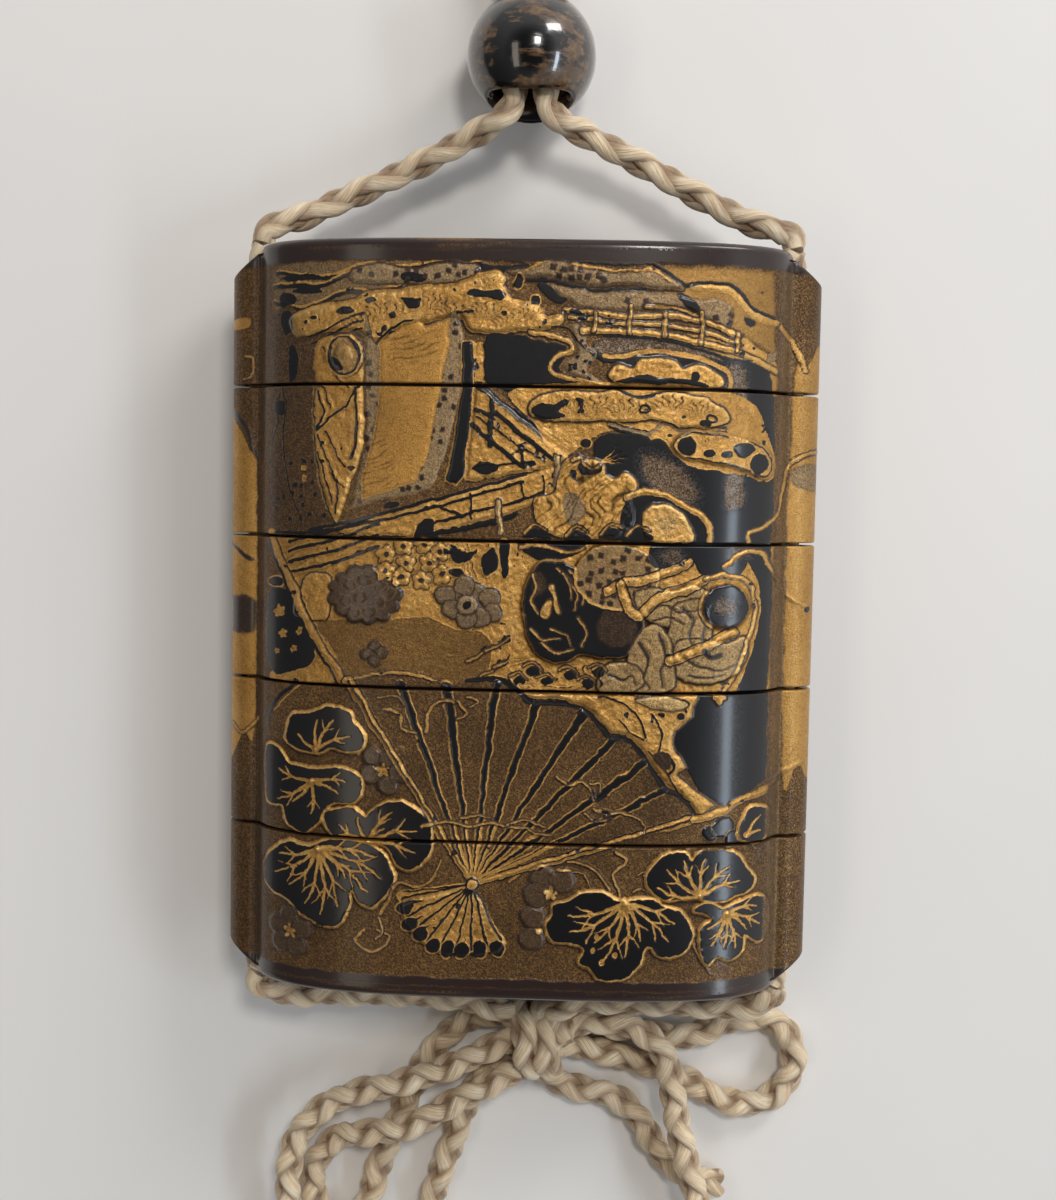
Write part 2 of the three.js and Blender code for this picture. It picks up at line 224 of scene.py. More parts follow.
leftBranch = [
    (-27.0, cordStart, 10.1), (-27.0, 39.0, 10.05), (-25.7, 40.0, 9.6), (-22.8, 41.0, 8.8), (-19.6, 42.6, 8.1),
    (-16.0, 44.3, 7.6), (-12.1, 46.2, 7.4), (-8.3, 48.1, 7.8), (-5.0, 49.8, 8.6), (-2.9, 51.0, 9.3),
    (-1.8, 52.4, 9.1),
]
rightBranch = [
    (1.8, 52.4, 9.1), (2.9, 51.0, 9.3), (4.8, 50.0, 8.6), (7.8, 48.6, 7.8), (11.4, 46.9, 7.4), (15.0, 44.9, 7.6),
    (18.8, 42.8, 8.1), (22.4, 40.9, 8.8), (25.6, 39.9, 9.6), (27.0, 39.0, 10.05), (27.0, cordStart, 10.1),
]
throughBead = [(-strandOffset, 55.0, 7.95), (-strandOffset, 60.4, 5.55), (-1.7, 64.2, 3.7)]
upperLoop = [(-2.9, 67.2, 2.4), (-5.0, 69.7, 1.75), (-6.3, 72.8, 1.6), (-5.2, 76.2, 1.6), (-2.1, 78.3, 1.6)]
routes = {
    "cord_top": leftBranch + throughBead + upperLoop + mirrored(upperLoop) + mirrored(throughBead) + rightBranch,
    "cord_under": [
        (-27.0, -cordStart, 10.1), (-27.0, -39.0, 10.0), (-24.6, -40.5, 9.2), (-19.6, -40.8, 7.9),
        (-14.5, -41.0, 6.9), (-9.5, -41.3, 6.2), (-5.0, -41.8, 5.9), (-1.2, -42.9, 5.8), (1.5, -44.6, 5.6),
        (2.4, -44.6, 5.6), (3.6, -42.9, 6.5), (5.6, -41.5, 7.3), (8.4, -40.9, 7.6), (12.0, -40.8, 7.8),
        (15.6, -40.8, 8.0), (19.4, -40.7, 8.4), (24.6, -40.5, 9.3), (27.0, -39.0, 10.0), (27.0, -cordStart, 10.1),
    ],
    "bow_outer_loop": [
        (1.0, -45.8, 5.2), (-2.4, -47.1, 5.3), (-6.6, -49.3, 5.3), (-12.6, -51.5, 5.3), (-18.4, -53.2, 4.9),
        (-22.0, -55.6, 4.9), (-24.1, -59.0, 4.9), (-24.6, -62.4, 4.9), (-24.5, -66.2, 4.8), (-23.4, -70.4, 4.0),
        (-20.6, -74.0, 2.3), (-16.2, -75.2, floorLay), (-12.2, -72.8, floorLay), (-10.0, -68.4, floorLay),
        (-8.4, -63.6, floorLay), (-7.1, -59.8, floorLay), (-5.6, -55.4, floorLay), (-3.6, -51.8, floorLay),
        (-0.4, -48.8, 1.9),
    ],
    "bow_inner_loop": [
        (0.8, -49.4, 5.1), (-2.4, -51.1, 5.3), (-6.8, -53.6, 5.2), (-11.2, -56.2, 5.2), (-15.4, -57.4, 4.3),
        (-19.0, -58.5, 2.7), (-21.2, -60.5, 1.8), (-22.4, -63.4, floorLay), (-22.0, -66.6, floorLay),
        (-19.6, -68.7, floorLay), (-17.0, -67.6, floorLay), (-15.7, -64.7, floorLay), (-14.9, -61.8, floorLay),
        (-13.6, -58.4, floorLay), (-11.7, -53.9, floorLay), (-9.7, -49.6, floorLay), (-7.0, -46.5, floorLay),
        (-3.8, -44.6, 1.7), (0.4, -44.6, 2.2),
    ],
    "bow_right_loop": [
        (4.6, -45.2, 1.9), (8.4, -45.1, 1.7), (13.2, -46.0, floorLay), (17.4, -46.6, floorLay),
        (20.4, -45.9, floorLay), (23.2, -44.6, floorLay), (26.2, -44.0, floorLay), (29.0, -45.0, floorLay),
        (30.4, -47.6, floorLay), (30.0, -50.6, floorLay), (27.9, -53.0, floorLay), (24.8, -53.8, floorLay),
        (21.6, -52.9, floorLay), (18.2, -51.0, floorLay), (13.6, -49.4, floorLay), (8.8, -48.3, 1.7),
        (4.8, -47.4, 2.0),
    ],
    "bow_long_tail": [
        (3.4, -45.8, 5.2), (6.2, -44.5, 5.3), (8.6, -43.8, 5.3), (12.2, -44.2, 5.3), (15.3, -46.2, 5.2),
        (16.6, -48.8, 5.1), (17.2, -51.8, 5.1), (17.7, -54.6, 5.1), (18.4, -57.4, 5.2), (19.2, -60.4, 5.3),
        (20.1, -63.6, 5.2), (21.2, -67.0, 4.2), (22.4, -70.4, 2.4),
    ],
    "bow_short_tail": [
        (3.2, -44.4, 3.6), (2.3, -46.4, 2.6), (2.2, -48.6, 2.0), (4.1, -51.6, 1.7), (7.2, -52.7, floorLay),
        (10.4, -53.3, floorLay), (13.0, -55.0, floorLay), (14.9, -57.8, floorLay), (17.0, -60.6, floorLay), (19.8, -62.2, floorLay), (22.8, -62.9, floorLay),
    ],
}


def curveThrough(points, step):  # a smooth line through the points, in metres, evenly spaced
    points = np.array(points) * mm
    ends = [2 * points[0] - points[1], *points, 2 * points[-1] - points[-2]]
    line = []
    for p0, p1, p2, p3 in zip(ends, ends[1:], ends[2:], ends[3:]):
        gaps = [max(np.linalg.norm(b - a), 1e-9) ** 0.5 for a, b in ((p0, p1), (p1, p2), (p2, p3))]
        start = ((p1 - p0) / gaps[0] - (p2 - p0) / (gaps[0] + gaps[1]) + (p2 - p1) / gaps[1]) * gaps[1]
        leave = ((p2 - p1) / gaps[1] - (p3 - p1) / (gaps[1] + gaps[2]) + (p3 - p2) / gaps[2]) * gaps[1]
        for t in np.linspace(0, 1, 24, endpoint=False):
            line.append(p1 + t * start + t**2 * (3 * (p2 - p1) - 2 * start - leave)
                        + t**3 * (2 * (p1 - p2) + start + leave))
    line = np.array([*line, points[-1]])
    along = np.concatenate([[0], np.cumsum(np.linalg.norm(np.diff(line, axis=0), axis=1))])
    stations = np.linspace(0, along[-1], max(3, round(along[-1] / (step * mm)) + 1))
    return np.stack([np.interp(stations, along, line[:, axis]) for axis in range(3)], axis=1), along[-1]


# The braid: two strands wind one way and two the other, over and under
braid = {
    "lobe": 5.0,  # half a strand's turn round the cord
    "pulledLobe": 6.8,  # where the cord is drawn tight
    "turnRadius": 0.235,  # of the strands' middles, as a share of the cord's width
    "weave": 0.1,
    "strandWidth": 0.57,
    "strandThickness": 0.38,
    "sectionPoints": 14,
    "step": 0.3,
    "blend": 0.5,
}
silk = {
    "light": tint(255, 242, 216),
    "mid": tint(236, 202, 152),
    "shade": tint(132, 90, 52),
    "roughness": 0.36,
}


def silkLook(bench):
    ring = bench.attribute("ring", "Vector")
    along = bench.attribute("along")
    tuck = bench.attribute("tuck")
    slim = bench.add("ShaderNodeCombineXYZ", {}, {"Z": along * 420})
    fibre = bench.noise(ring * 5.5 + slim * 0.5, 1.6, 3, 0.7)
    hank = bench.noise(ring * 2.2 + slim * 0.6, 1.4, 2, 0.5)
    dye = bench.noise(bench.place(), 260, 2)
    colour = bench.blend(fibre.between(0.38, 0.6), silk["mid"], silk["light"])
    colour = bench.blend(fibre.between(0.46, 0.34) * 0.35, colour, silk["shade"])
    colour = bench.blend(hank.between(0.35, 0.75) * 0.35, colour, silk["mid"])
    # painted shade: the strands' flanks and the stretches tucked under the other strands are darkened
    sideways = bench.add("ShaderNodeSeparateXYZ", {}, {"Vector": ring}, "Y")
    flankShade = (sideways * sideways).between(0.25, 1.0)
    colour = bench.blend(flankShade * 0.45, colour, silk["shade"])
    colour = bench.blend(tuck.between(0.42, 1.0) * 0.6, colour, silk["shade"])
    colour = bench.blend(dye.between(0.35, 0.75) * 0.18, colour, silk["shade"])
    relief = bench.bump(fibre * 0.8 + hank * 0.5, 1.0, 0.00026)
    return {"Base Color": colour, "Normal": relief, "Roughness": silk["roughness"] + fibre * 0.16 - 0.08}


silkMaterial = newMaterial("silk_braid", silkLook, **{
    "Sheen Weight": 0.1, "Sheen Roughness": 0.3, "Specular IOR Level": 0.9, "Subsurface Weight": 0.1,
    "Subsurface Radius": (0.9, 0.6, 0.35), "Subsurface Scale": 0.0007,
})


def braidTree():
    tree = bpy.data.node_groups.new("braid", "GeometryNodeTree")
    bench = Bench(tree)
    face = tree.interface
    face.new_socket("Geometry", in_out="INPUT", socket_type="NodeSocketGeometry")
    for name in ("Width", "Lobe", "Turn Radius", "Weave", "Strand Width", "Strand Thickness"):
        face.new_socket(name, in_out="INPUT", socket_type="NodeSocketFloat")
    face.new_socket("Section Points", in_out="INPUT", socket_type="NodeSocketInt")
    face.new_socket("Finish", in_out="INPUT", socket_type="NodeSocketMaterial")
    face.new_socket("Geometry", in_out="OUTPUT", socket_type="NodeSocketGeometry")
    given = bench.add("NodeGroupInput")
    route = bench.add("GeometryNodeMeshToCurve", {}, {"Mesh": given})
    up = bench.add("GeometryNodeInputNamedAttribute", {"data_type": "FLOAT_VECTOR"}, {"Name": "up"})
    side = bench.add("GeometryNodeInputNamedAttribute", {"data_type": "FLOAT_VECTOR"}, {"Name": "side"})
    along = bench.add("GeometryNodeInputNamedAttribute", {"data_type": "FLOAT"}, {"Name": "along"})
    width = given.other("Width")
    circle = bench.add("GeometryNodeCurvePrimitiveCircle", {"mode": "RADIUS"},
                       {"Resolution": given.other("Section Points"), "Radius": 1.0})
    ring = bench.add("GeometryNodeStoreNamedAttribute", {"data_type": "FLOAT_VECTOR", "domain": "POINT"},
                     {"Geometry": circle, "Name": "ring", "Value": bench.add("GeometryNodeInputPosition")})
    halves = bench.add("ShaderNodeCombineXYZ", {}, {"X": given.other("Strand Thickness") * width * 0.5,
                                                   "Y": given.other("Strand Width") * width * 0.5, "Z": 1.0})
    shape = bench.add("ShaderNodeVectorMath", {"operation": "MULTIPLY"},
                      {0: bench.add("GeometryNodeInputPosition"), 1: halves})
    profile = bench.add("GeometryNodeSetPosition", {}, {"Geometry": ring, "Position": shape})
    strands = bench.add("GeometryNodeJoinGeometry")
    for number in range(4):
        turning = 1 if number < 2 else -1
        start = (0, math.pi, math.pi / 2, 1.5 * math.pi)[number]
        angle = along * turning * math.pi / given.other("Lobe") + start
        lift = (angle * 2).sine() * turning
        reach = (given.other("Turn Radius") + lift * given.other("Weave")) * width
        outward = up * angle.cosine() + side * angle.sine()
        moved = bench.add("GeometryNodeSetPosition", {}, {"Geometry": route, "Offset": outward * reach})
        # how deep the strand dives under the others; the silk is darkened there as painted shade
        tucked = bench.add("GeometryNodeStoreNamedAttribute", {"data_type": "FLOAT", "domain": "POINT"},
                           {"Geometry": moved, "Name": "tuck", "Value": 0.5 - lift * 0.5})
        facing = bench.add("GeometryNodeSetCurveNormal", {"mode": "FREE"}, {"Curve": tucked, "Normal": outward})
        sized = bench.add("GeometryNodeSetCurveRadius", {}, {"Curve": facing, "Radius": 1.0})
        strand = bench.add("GeometryNodeCurveToMesh", {}, {"Curve": sized, "Profile Curve": profile,
                                                           "Fill Caps": True})
        tree.links.new(strand.socket, strands.node.inputs[0])
    smooth = bench.add("GeometryNodeSetShadeSmooth", {}, {"Geometry": strands})
    real = bench.add("GeometryNodeRealizeInstances", {}, {"Geometry": smooth})
    done = bench.add("GeometryNodeSetMaterial", {}, {"Geometry": real, "Material": given.other("Finish")})
    bench.add("NodeGroupOutput", {}, {"Geometry": done})
    return tree


braidGroup = braidTree()


def routeMesh(name, line, reference):
    ahead = np.gradient(line, axis=0)
    ahead /= np.linalg.norm(ahead, axis=1, keepdims=True)
    ups = np.broadcast_to(reference, line.shape) if np.ndim(reference) == 1 else reference
    up = ups - ahead * np.sum(ups * ahead, axis=1, keepdims=True)
    up /= np.linalg.norm(up, axis=1, keepdims=True)
    side = np.cross(ahead, up)
    data = bpy.data.meshes.new(name)
    data.from_pydata([tuple(point) for point in line], [(i, i + 1) for i in range(len(line) - 1)], [])
    along = np.concatenate([[0], np.cumsum(np.linalg.norm(np.diff(line, axis=0), axis=1))])
    for label, kind, values in (("up", "FLOAT_VECTOR", up), ("side", "FLOAT_VECTOR", side), ("along", "FLOAT", along)):
        field = data.attributes.new(label, kind, "POINT")
        field.data.foreach_set("vector" if kind == "FLOAT_VECTOR" else "value", np.ravel(values))
    piece = bpy.data.objects.new(name, data)
    bpy.context.scene.collection.objects.link(piece)
    return piece


def giveInputs(modifier, values):  # by the sockets' identifiers
    sockets = {item.name: item.identifier for item in modifier.node_group.interface.items_tree
               if item.in_out == "INPUT"}
    for name, value in values.items():
        modifier[sockets[name]] = value


def braidAlong(name, line, width, reference=(0, 0, 1), lobe=braid["lobe"]):
    piece = routeMesh(name, line, np.array(reference, dtype=float))
    modifier = piece.modifiers.new("braid", "NODES")
    modifier.node_group = braidGroup
    giveInputs(modifier, {
        "Width": width * mm, "Lobe": lobe * mm, "Turn Radius": braid["turnRadius"],
        "Weave": braid["weave"], "Strand Width": braid["strandWidth"],
        "Strand Thickness": braid["strandThickness"], "Section Points": braid["sectionPoints"],
        "Finish": silkMaterial,
    })
    settle(piece)
    return piece


cords = {  # width, what it stands for, and what its far end is
    "cord_top": {"width": 2.9, "nodes": ("cord_top",), "end": "object"},
    "cord_under": {"width": 3.1, "nodes": ("cord_under_left", "cord_under_right"), "end": "object"},
    "bow_outer_loop": {"width": 3.1, "nodes": ("bow_outer_loop",), "end": "object"},
    "bow_inner_loop": {"width": 3.1, "nodes": ("bow_inner_loop",), "end": "object"},
    "bow_right_loop": {"width": 3.1, "nodes": ("bow_right_loop",), "end": "object"},
    "bow_long_tail": {"width": 3.1, "nodes": ("bow_long_tail",), "end": "bare"},
    "bow_short_tail": {"width": 3.1, "nodes": ("bow_short_tail",), "end": "bare"},
}
for name, facts in cords.items():
    line, length = curveThrough(routes[name], braid["step"])
    lobe = braid["pulledLobe"] if name == "cord_top" else braid["lobe"]
    piece = braidAlong(name + "_braid", line, facts["width"], lobe=lobe)
    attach(piece, "root")
    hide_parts(*facts["nodes"])
    facts.update(line=line, length=length)
    print("inro: cord", name, round(length / mm, 1), "mm,", len(piece.data.polygons), "faces")

# The held stretches in the side channels
for side, name in ((-1, "cord_in_left_channel"), (1, "cord_in_right_channel")):
    line, length = curveThrough([(27 * side, channelEnd, 10.1), (27 * side, 0, 10.1), (27 * side, -channelEnd, 10.1)],
                                braid["step"])
    piece = braidAlong(name + "_braid", line, 3.1)
    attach(piece, "root")
    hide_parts(name)
print("inro: cords in the channels")

# The knot: the cord wound twice around the crossing, over a core of its own strands
knot = {
    "middle": (2.7, -46.0, 4.7),
    "reach": (2.5, 3.2, 2.9),  # of the winding's middle line, from the knot's middle
    "turns": 2.5,
    "width": 3.1,
    "core": (2.5, 2.6, 2.0),
}


def windingPoints():
    points = []
    steps = round(16 * knot["turns"])
    for step in range(steps + 1):
        share = step / steps
        angle = math.radians(-100) + share * knot["turns"] * 2 * math.pi
        x = knot["middle"][0] + knot["reach"][0] * (2 * share - 1)
        points.append((x, knot["middle"][1] + knot["reach"][1] * math.cos(angle),
                       knot["middle"][2] + knot["reach"][2] * math.sin(angle)))
    return points


line, length = curveThrough(windingPoints(), braid["step"])
outward = line - np.array(knot["middle"]) * mm
outward[:, 0] = 0
winding = braidAlong("bow_knot_winding", line, knot["width"], outward)
core = bmesh.new()
bmesh.ops.create_icosphere(core, subdivisions=4, radius=1)
bmesh.ops.scale(core, vec=Vector(knot["core"]) * mm, verts=core.verts)
bmesh.ops.translate(core, vec=Vector(knot["middle"]) * mm, verts=core.verts)
coreData = bpy.data.meshes.new("bow_knot_core")
core.to_mesh(coreData)
core.free()
coreData.materials.append(silkMaterial)
coreData.polygons.foreach_set("use_smooth", [True] * len(coreData.polygons))
corePiece = bpy.data.objects.new("bow_knot_core", coreData)
bpy.context.scene.collection.objects.link(corePiece)
for piece in (winding, corePiece):
    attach(piece, "root")
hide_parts("bow_knot")
print("inro: knot")

# The bead: a mottled ball with an oval bore
bead = {
    "middle": (0, 57.7, 6.75),
    "radius": 6.65,
    "tilt": 24,
    "bore": (3.3, 1.85),
    "mouth": (4.4, 2.9),  # of the lower, wider end
    "rim": 0.35,
    "around": 96,
    "dark": tint(14, 12, 12),
    "brown": tint(84, 60, 37),
    "tan": tint(138, 106, 66),
}


def ovalReach(halfX, halfZ, angle):
    return halfX * halfZ / math.hypot(halfZ * math.cos(angle), halfX * math.sin(angle))


def beadMeridian(angle):  # distance from the axis and place along it, from the lower mouth over to the upper
    bore = ovalReach(*bead["bore"], angle)
    mouth = ovalReach(*bead["mouth"], angle)
    radius = bead["radius"]
    points = []
    depth = radius - math.sqrt(radius**2 - mouth**2)
    for share in np.linspace(0, 1, 10):  # the flare, from the bore out to the lower rim
        points.append((bore + (mouth - bore) * share**2, -radius + depth + 3.4 * (1 - share) ** 1.5))
    low = math.asin((mouth + bead["rim"]) / radius)
    high = math.asin((bore + bead["rim"]) / radius)
    for polar in np.linspace(low, math.pi - high, 56):
        points.append((radius * math.sin(polar), -radius * math.cos(polar)))
    for share in np.linspace(0.15, 1, 8):  # over the upper rim and back into the bore
        turn = share * math.pi / 2
        edge = math.sqrt(radius**2 - (bore + bead["rim"]) ** 2)
        points.append((bore + bead["rim"] * (1 - math.sin(turn)), edge - bead["rim"] * (1 - math.cos(turn))))
    points.append((bore, 0))
    return points


def beadMesh():
    rings = [beadMeridian(2 * math.pi * i / bead["around"]) for i in range(bead["around"])]
    rows = len(rings[0])
    turn = Matrix.Rotation(-math.radians(bead["tilt"]), 3, "X")
    points = []
    for i, ring in enumerate(rings):
        angle = 2 * math.pi * i / bead["around"]
        for reach, along in ring:
            point = turn @ Vector((reach * math.cos(angle), along, reach * math.sin(angle)))
            points.append((point + Vector(bead["middle"])) * mm)
    faces = []
    for i in range(bead["around"]):
        j = (i + 1) % bead["around"]
        for row in range(rows):
            below = (row + 1) % rows
            faces.append((i * rows + row, i * rows + below, j * rows + below, j * rows + row))
    return newMesh("bead_ball", points, faces)


def beadLook(bench):
    place = bench.place()
    brushed = bench.add("ShaderNodeMapping", {}, {"Vector": place, "Scale": (0.5, 1.25, 1.0)})
    clouds = bench.noise(brushed, 330, 5, 0.66, 0.6)
    patches = bench.noise(brushed, 760, 4, 0.6, 0.5)
    flecks = bench.noise(place, 1900, 2, 0.5)
    wash = (clouds * 0.62 + patches * 0.38).between(0.485, 0.55)
    light = (patches * 0.7 + flecks * 0.3).between(0.5, 0.66) * wash
    colour = bench.blend(wash * 0.85, bead["dark"], bead["brown"])
    colour = bench.blend(light * 0.55, colour, bead["tan"])
    waves = bench.bump(clouds, 0.12, 0.0006)
    return {"Base Color": colour, "Roughness": 0.16 + wash * 0.14, "Normal": waves}


ball = beadMesh()
ball.data.materials.append(newMaterial("bead_lacquer", beadLook, **{
    "Coat Weight": 1.0, "Coat Roughness": 0.04, "Specular IOR Level": 0.5,
}))
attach(ball, "root")
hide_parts("ojime_bead")
print("inro: bead")

# The picture, laid out in millimetres on a fine grid, one finish over another
ground = {
    "halfX": 30.5,
    "halfY": 37.7,
    "step": 0.06,
    # the dust finish is a grey sheen painted on the black, a painted reflection of the light, partly a dusting of
    # powder
    "finishes": ("gold", "black", "mist", "plain", "silver", "dust"),
}
gridX = np.arange(-ground["halfX"], ground["halfX"], ground["step"], dtype=np.float32)
gridY = np.arange(-ground["halfY"], ground["halfY"], ground["step"], dtype=np.float32)
layers = {name: np.zeros((len(gridY), len(gridX)), dtype=np.float32) for name in ground["finishes"]}
tone = np.zeros((len(gridY), len(gridX)), dtype=np.float32)
rise = np.zeros((len(gridY), len(gridX)), dtype=np.float32)
calm = np.zeros((len(gridY), len(gridX)), dtype=np.float32)  # where the gold is smooth
chance = np.random.default_rng(7)


class Shape:  # how far each grid point in a window lies outside an outline, less than nothing inside it
    def __init__(self, window, distance):
        self.window = window
        self.distance = distance

    def ring(self, inner, outer):
        return Shape(self.window, np.abs(self.distance - (inner + outer) / 2) - (outer - inner) / 2)

    def grown(self, amount):
        return Shape(self.window, self.distance - amount)

    def places(self):
        rows, columns = self.window
        return np.meshgrid(gridX[columns], gridY[rows])

    def mask(self, soft=0.05):
        return np.clip(0.5 - self.distance / (2 * soft), 0, 1)


def windowAround(xs, ys, margin=1.0):
    low = np.searchsorted(gridX, min(xs) - margin), np.searchsorted(gridY, min(ys) - margin)
    high = np.searchsorted(gridX, max(xs) + margin), np.searchsorted(gridY, max(ys) + margin)
    window = slice(low[1], high[1]), slice(low[0], high[0])
    return window, *np.meshgrid(gridX[window[1]], gridY[window[0]])


def smoothed(points, closed, parts=5):
    points = np.array(points, dtype=float)
    count = len(points)
    if count < 3:
        return points
    line = []
    for i in range(count if closed else count - 1):
        if closed:
            a, b, c, d = (points[(i + k) % count] for k in (-1, 0, 1, 2))
        else:
            a, b, c, d = points[max(i - 1, 0)], points[i], points[i + 1], points[min(i + 2, count - 1)]
        for t in np.linspace(0, 1, parts, endpoint=False):
            line.append(0.5 * (2 * b + (c - a) * t + (2 * a - 5 * b + 4 * c - d) * t**2
                               + (3 * b - a - 3 * c + d) * t**3))
    if not closed:
        line.append(points[-1])
    return np.array(line)


def area(points, curved=True):
    outline = smoothed(points, True) if curved else np.array(points, dtype=float)
    window, x, y = windowAround(outline[:, 0], outline[:, 1])
    nearest = np.full(x.shape, 1e9, dtype=np.float32)
    inside = np.zeros(x.shape, dtype=bool)
    for (ax, ay), (bx, by) in zip(outline, np.roll(outline, -1, axis=0)):
        dx, dy = bx - ax, by - ay
        share = np.clip(((x - ax) * dx + (y - ay) * dy) / (dx * dx + dy * dy + 1e-12), 0, 1)
        nearest = np.minimum(nearest, (x - ax - share * dx) ** 2 + (y - ay - share * dy) ** 2)
        if ay != by:
            inside ^= ((ay > y) != (by > y)) & (x < dx * (y - ay) / dy + ax)
    return Shape(window, np.sqrt(nearest) * np.where(inside, -1, 1))


def line(points, width, endWidth=None, curved=True):
    route = smoothed(points, False) if curved else np.array(points, dtype=float)
    window, x, y = windowAround(route[:, 0], route[:, 1], 1.2 + width / 2)
    halves = np.linspace(width / 2, (width if endWidth is None else endWidth) / 2, len(route))
    nearest = np.full(x.shape, 1e9, dtype=np.float32)
    for (ax, ay), (bx, by), start, stop in zip(route, route[1:], halves, halves[1:]):
        dx, dy = bx - ax, by - ay
        share = np.clip(((x - ax) * dx + (y - ay) * dy) / (dx * dx + dy * dy + 1e-12), 0, 1)
        reach = np.hypot(x - ax - share * dx, y - ay - share * dy)
        nearest = np.minimum(nearest, reach - start - share * (stop - start))
    return Shape(window, nearest)


def oval(x, y, halfX, halfY, turn=0.0, lobes=0, depth=0.0, phase=0.0):
    reach = max(halfX, halfY)
    window, gx, gy = windowAround((x - reach, x + reach), (y - reach, y + reach))
    c, s = math.cos(turn), math.sin(turn)
    u, v = (gx - x) * c + (gy - y) * s, (gy - y) * c - (gx - x) * s
    radius = np.hypot(u / halfX, v / halfY)
    edge = 1.0
    if lobes:
        edge = 1 - depth + depth * np.abs(np.cos(lobes / 2 * (np.arctan2(v / halfY, u / halfX) - phase)))
    return Shape(window, ((radius - edge) * min(halfX, halfY)).astype(np.float32))


def put(shape, finish, amount=1.0, soft=0.05):
    share = shape.mask(soft) * amount
    for name, layer in layers.items():
        layer[shape.window] *= 1 - share
    if finish in layers:
        layers[finish][shape.window] += share


def lift(shape, height, slope=0.3):
    share = np.clip(-shape.distance / slope, 0, 1)
    rise[shape.window] = np.maximum(rise[shape.window], height * share * share * (3 - 2 * share))


def addLift(shape, height, slope=0.15):
    share = np.clip(-shape.distance / slope, 0, 1)
    rise[shape.window] += height * share * share * (3 - 2 * share)


def shade(shape, amount, soft=0.1):
    tone[shape.window] += amount * shape.mask(soft)


def calmDown(shape, amount=1.0):  # keep the chisel and the pits away from it
    calm[shape.window] = np.maximum(calm[shape.window], amount * shape.mask(0.2))


def hatch(shape, angle, pitch, amount, height=0.0, wobble=0.25, finish=None):  # fine brush lines
    x, y = shape.places()
    c, s = math.cos(angle), math.sin(angle)
    along, across = x * c + y * s, y * c - x * s
    across = across + wobble * pitch * (np.sin(along * 2.1 / pitch * 0.35) + np.sin(along * 0.9 + across * 1.7))
    lines = np.clip(np.sin(across * 2 * math.pi / pitch) * 1.6 - 0.5, 0, 1)
    breaks = np.clip(np.sin(along * 1.9 + across * 3.1) + np.sin(along * 0.7 - across * 5.3) + 0.9, 0, 1)
    mask = lines * breaks * shape.mask(0.1)
    if finish:
        for layer in layers.values():
            layer[shape.window] *= 1 - mask * amount
        if finish in layers:
            layers[finish][shape.window] += mask * amount
    else:
        tone[shape.window] -= mask * amount
    rise[shape.window] += mask * height


def squares(shape, pitch, size, finish, share=0.6, bend=0.4):  # cut flakes, laid one by one
    x, y = shape.places()
    for px in np.arange(x.min(), x.max(), pitch):
        for py in np.arange(y.min(), y.max(), pitch):
            cx, cy = px + chance.uniform(-0.3, 0.3) * pitch, py + chance.uniform(-0.3, 0.3) * pitch
            turn, keep = chance.uniform(-bend, bend) + 0.7, chance.random() < share
            row = min(max(int((cy - y.min()) / ground["step"]), 0), shape.distance.shape[0] - 1)
            column = min(max(int((cx - x.min()) / ground["step"]), 0), shape.distance.shape[1] - 1)
            if keep and shape.distance[row, column] < -0.3 * size:
                corners = [(cx + size * 0.7 * math.cos(turn + k * math.pi / 2),
                            cy + size * 0.7 * math.sin(turn + k * math.pi / 2)) for k in range(4)]
                put(area(corners, curved=False), finish)


def outlined(shape, finish, width=0.35, height=0.0, edgeHeight=0.08, edgeFinish="gold"):
    put(shape.grown(width), edgeFinish)
    put(shape, finish)
    if height:
        lift(shape.grown(width), height)
    addLift(shape.ring(0, width), edgeHeight, width / 2)


def needles(x, y, halfX, halfY, turn=0.0, strokes=26, finish="plain"):  # a cushion of pine needles
    cushion = oval(x, y, halfX, halfY, turn, 9, 0.12)
    put(cushion, "gold")
    lift(cushion, 0.26, 0.7)
    gx, gy = cushion.places()
    c, s = math.cos(turn), math.sin(turn)
    u, v = (gx - x) * c + (gy - y) * s, (gy - y) * c - (gx - x) * s
    angle = np.arctan2(v / halfY + 0.9, u / halfX)
    radius = np.hypot(u / halfX, v / halfY + 0.9)
    rays = np.clip(np.sin(angle * strokes + 1.5 * np.sin(radius * 7)) * 1.5 - 0.6, 0, 1)
    mask = rays * np.clip(cushion.mask(0.2), 0, 1)
    tone[cushion.window] -= 0.5 * mask
    layers["gold"][cushion.window] *= 1 - 0.75 * mask
    layers["black"][cushion.window] += 0.75 * mask
    rise[cushion.window] -= 0.05 * mask


def leafOn(outline, hub, tips, height=0.28, width=0.34):  # a lotus leaf, black with gold veins
    shape = area(outline)
    outlined(shape, "black", width, height, 0.1)
    for tip in tips:
        dx, dy = tip[0] - hub[0], tip[1] - hub[1]
        long = math.hypot(dx, dy)
        bendX, bendY = -dy * 0.07, dx * 0.07
        middle = (hub[0] + 0.55 * dx + bendX, hub[1] + 0.55 * dy + bendY)
        vein = line([hub, middle, tip], 0.42, 0.16)
        put(vein, "gold")
        addLift(vein, 0.07, 0.12)
        if long > 3.2:
            for side in (-1, 1):
                start = (hub[0] + 0.58 * dx + bendX, hub[1] + 0.58 * dy + bendY)
                fork = (start[0] + 0.26 * dx - side * 0.2 * dy, start[1] + 0.26 * dy + side * 0.2 * dx)
                twig = line([start, fork], 0.24, 0.1)
                put(twig, "gold")
                addLift(twig, 0.05, 0.08)
    put(oval(*hub, 0.42, 0.34), "gold")


def petalsAt(centres, radius, finish="mist", height=0.16, heart=None, shadeShare=0.62):
    for x, y in centres:
        petal = oval(x, y, radius, radius * 0.94)
        outlined(petal, finish, 0.1, height, 0.02, "plain")
        put(petal, "plain", shadeShare)
    if heart:
        star = oval(*heart, 0.75, 0.75, 0.3, 5, 0.6)
        put(star, "gold")
        addLift(star, 0.1)


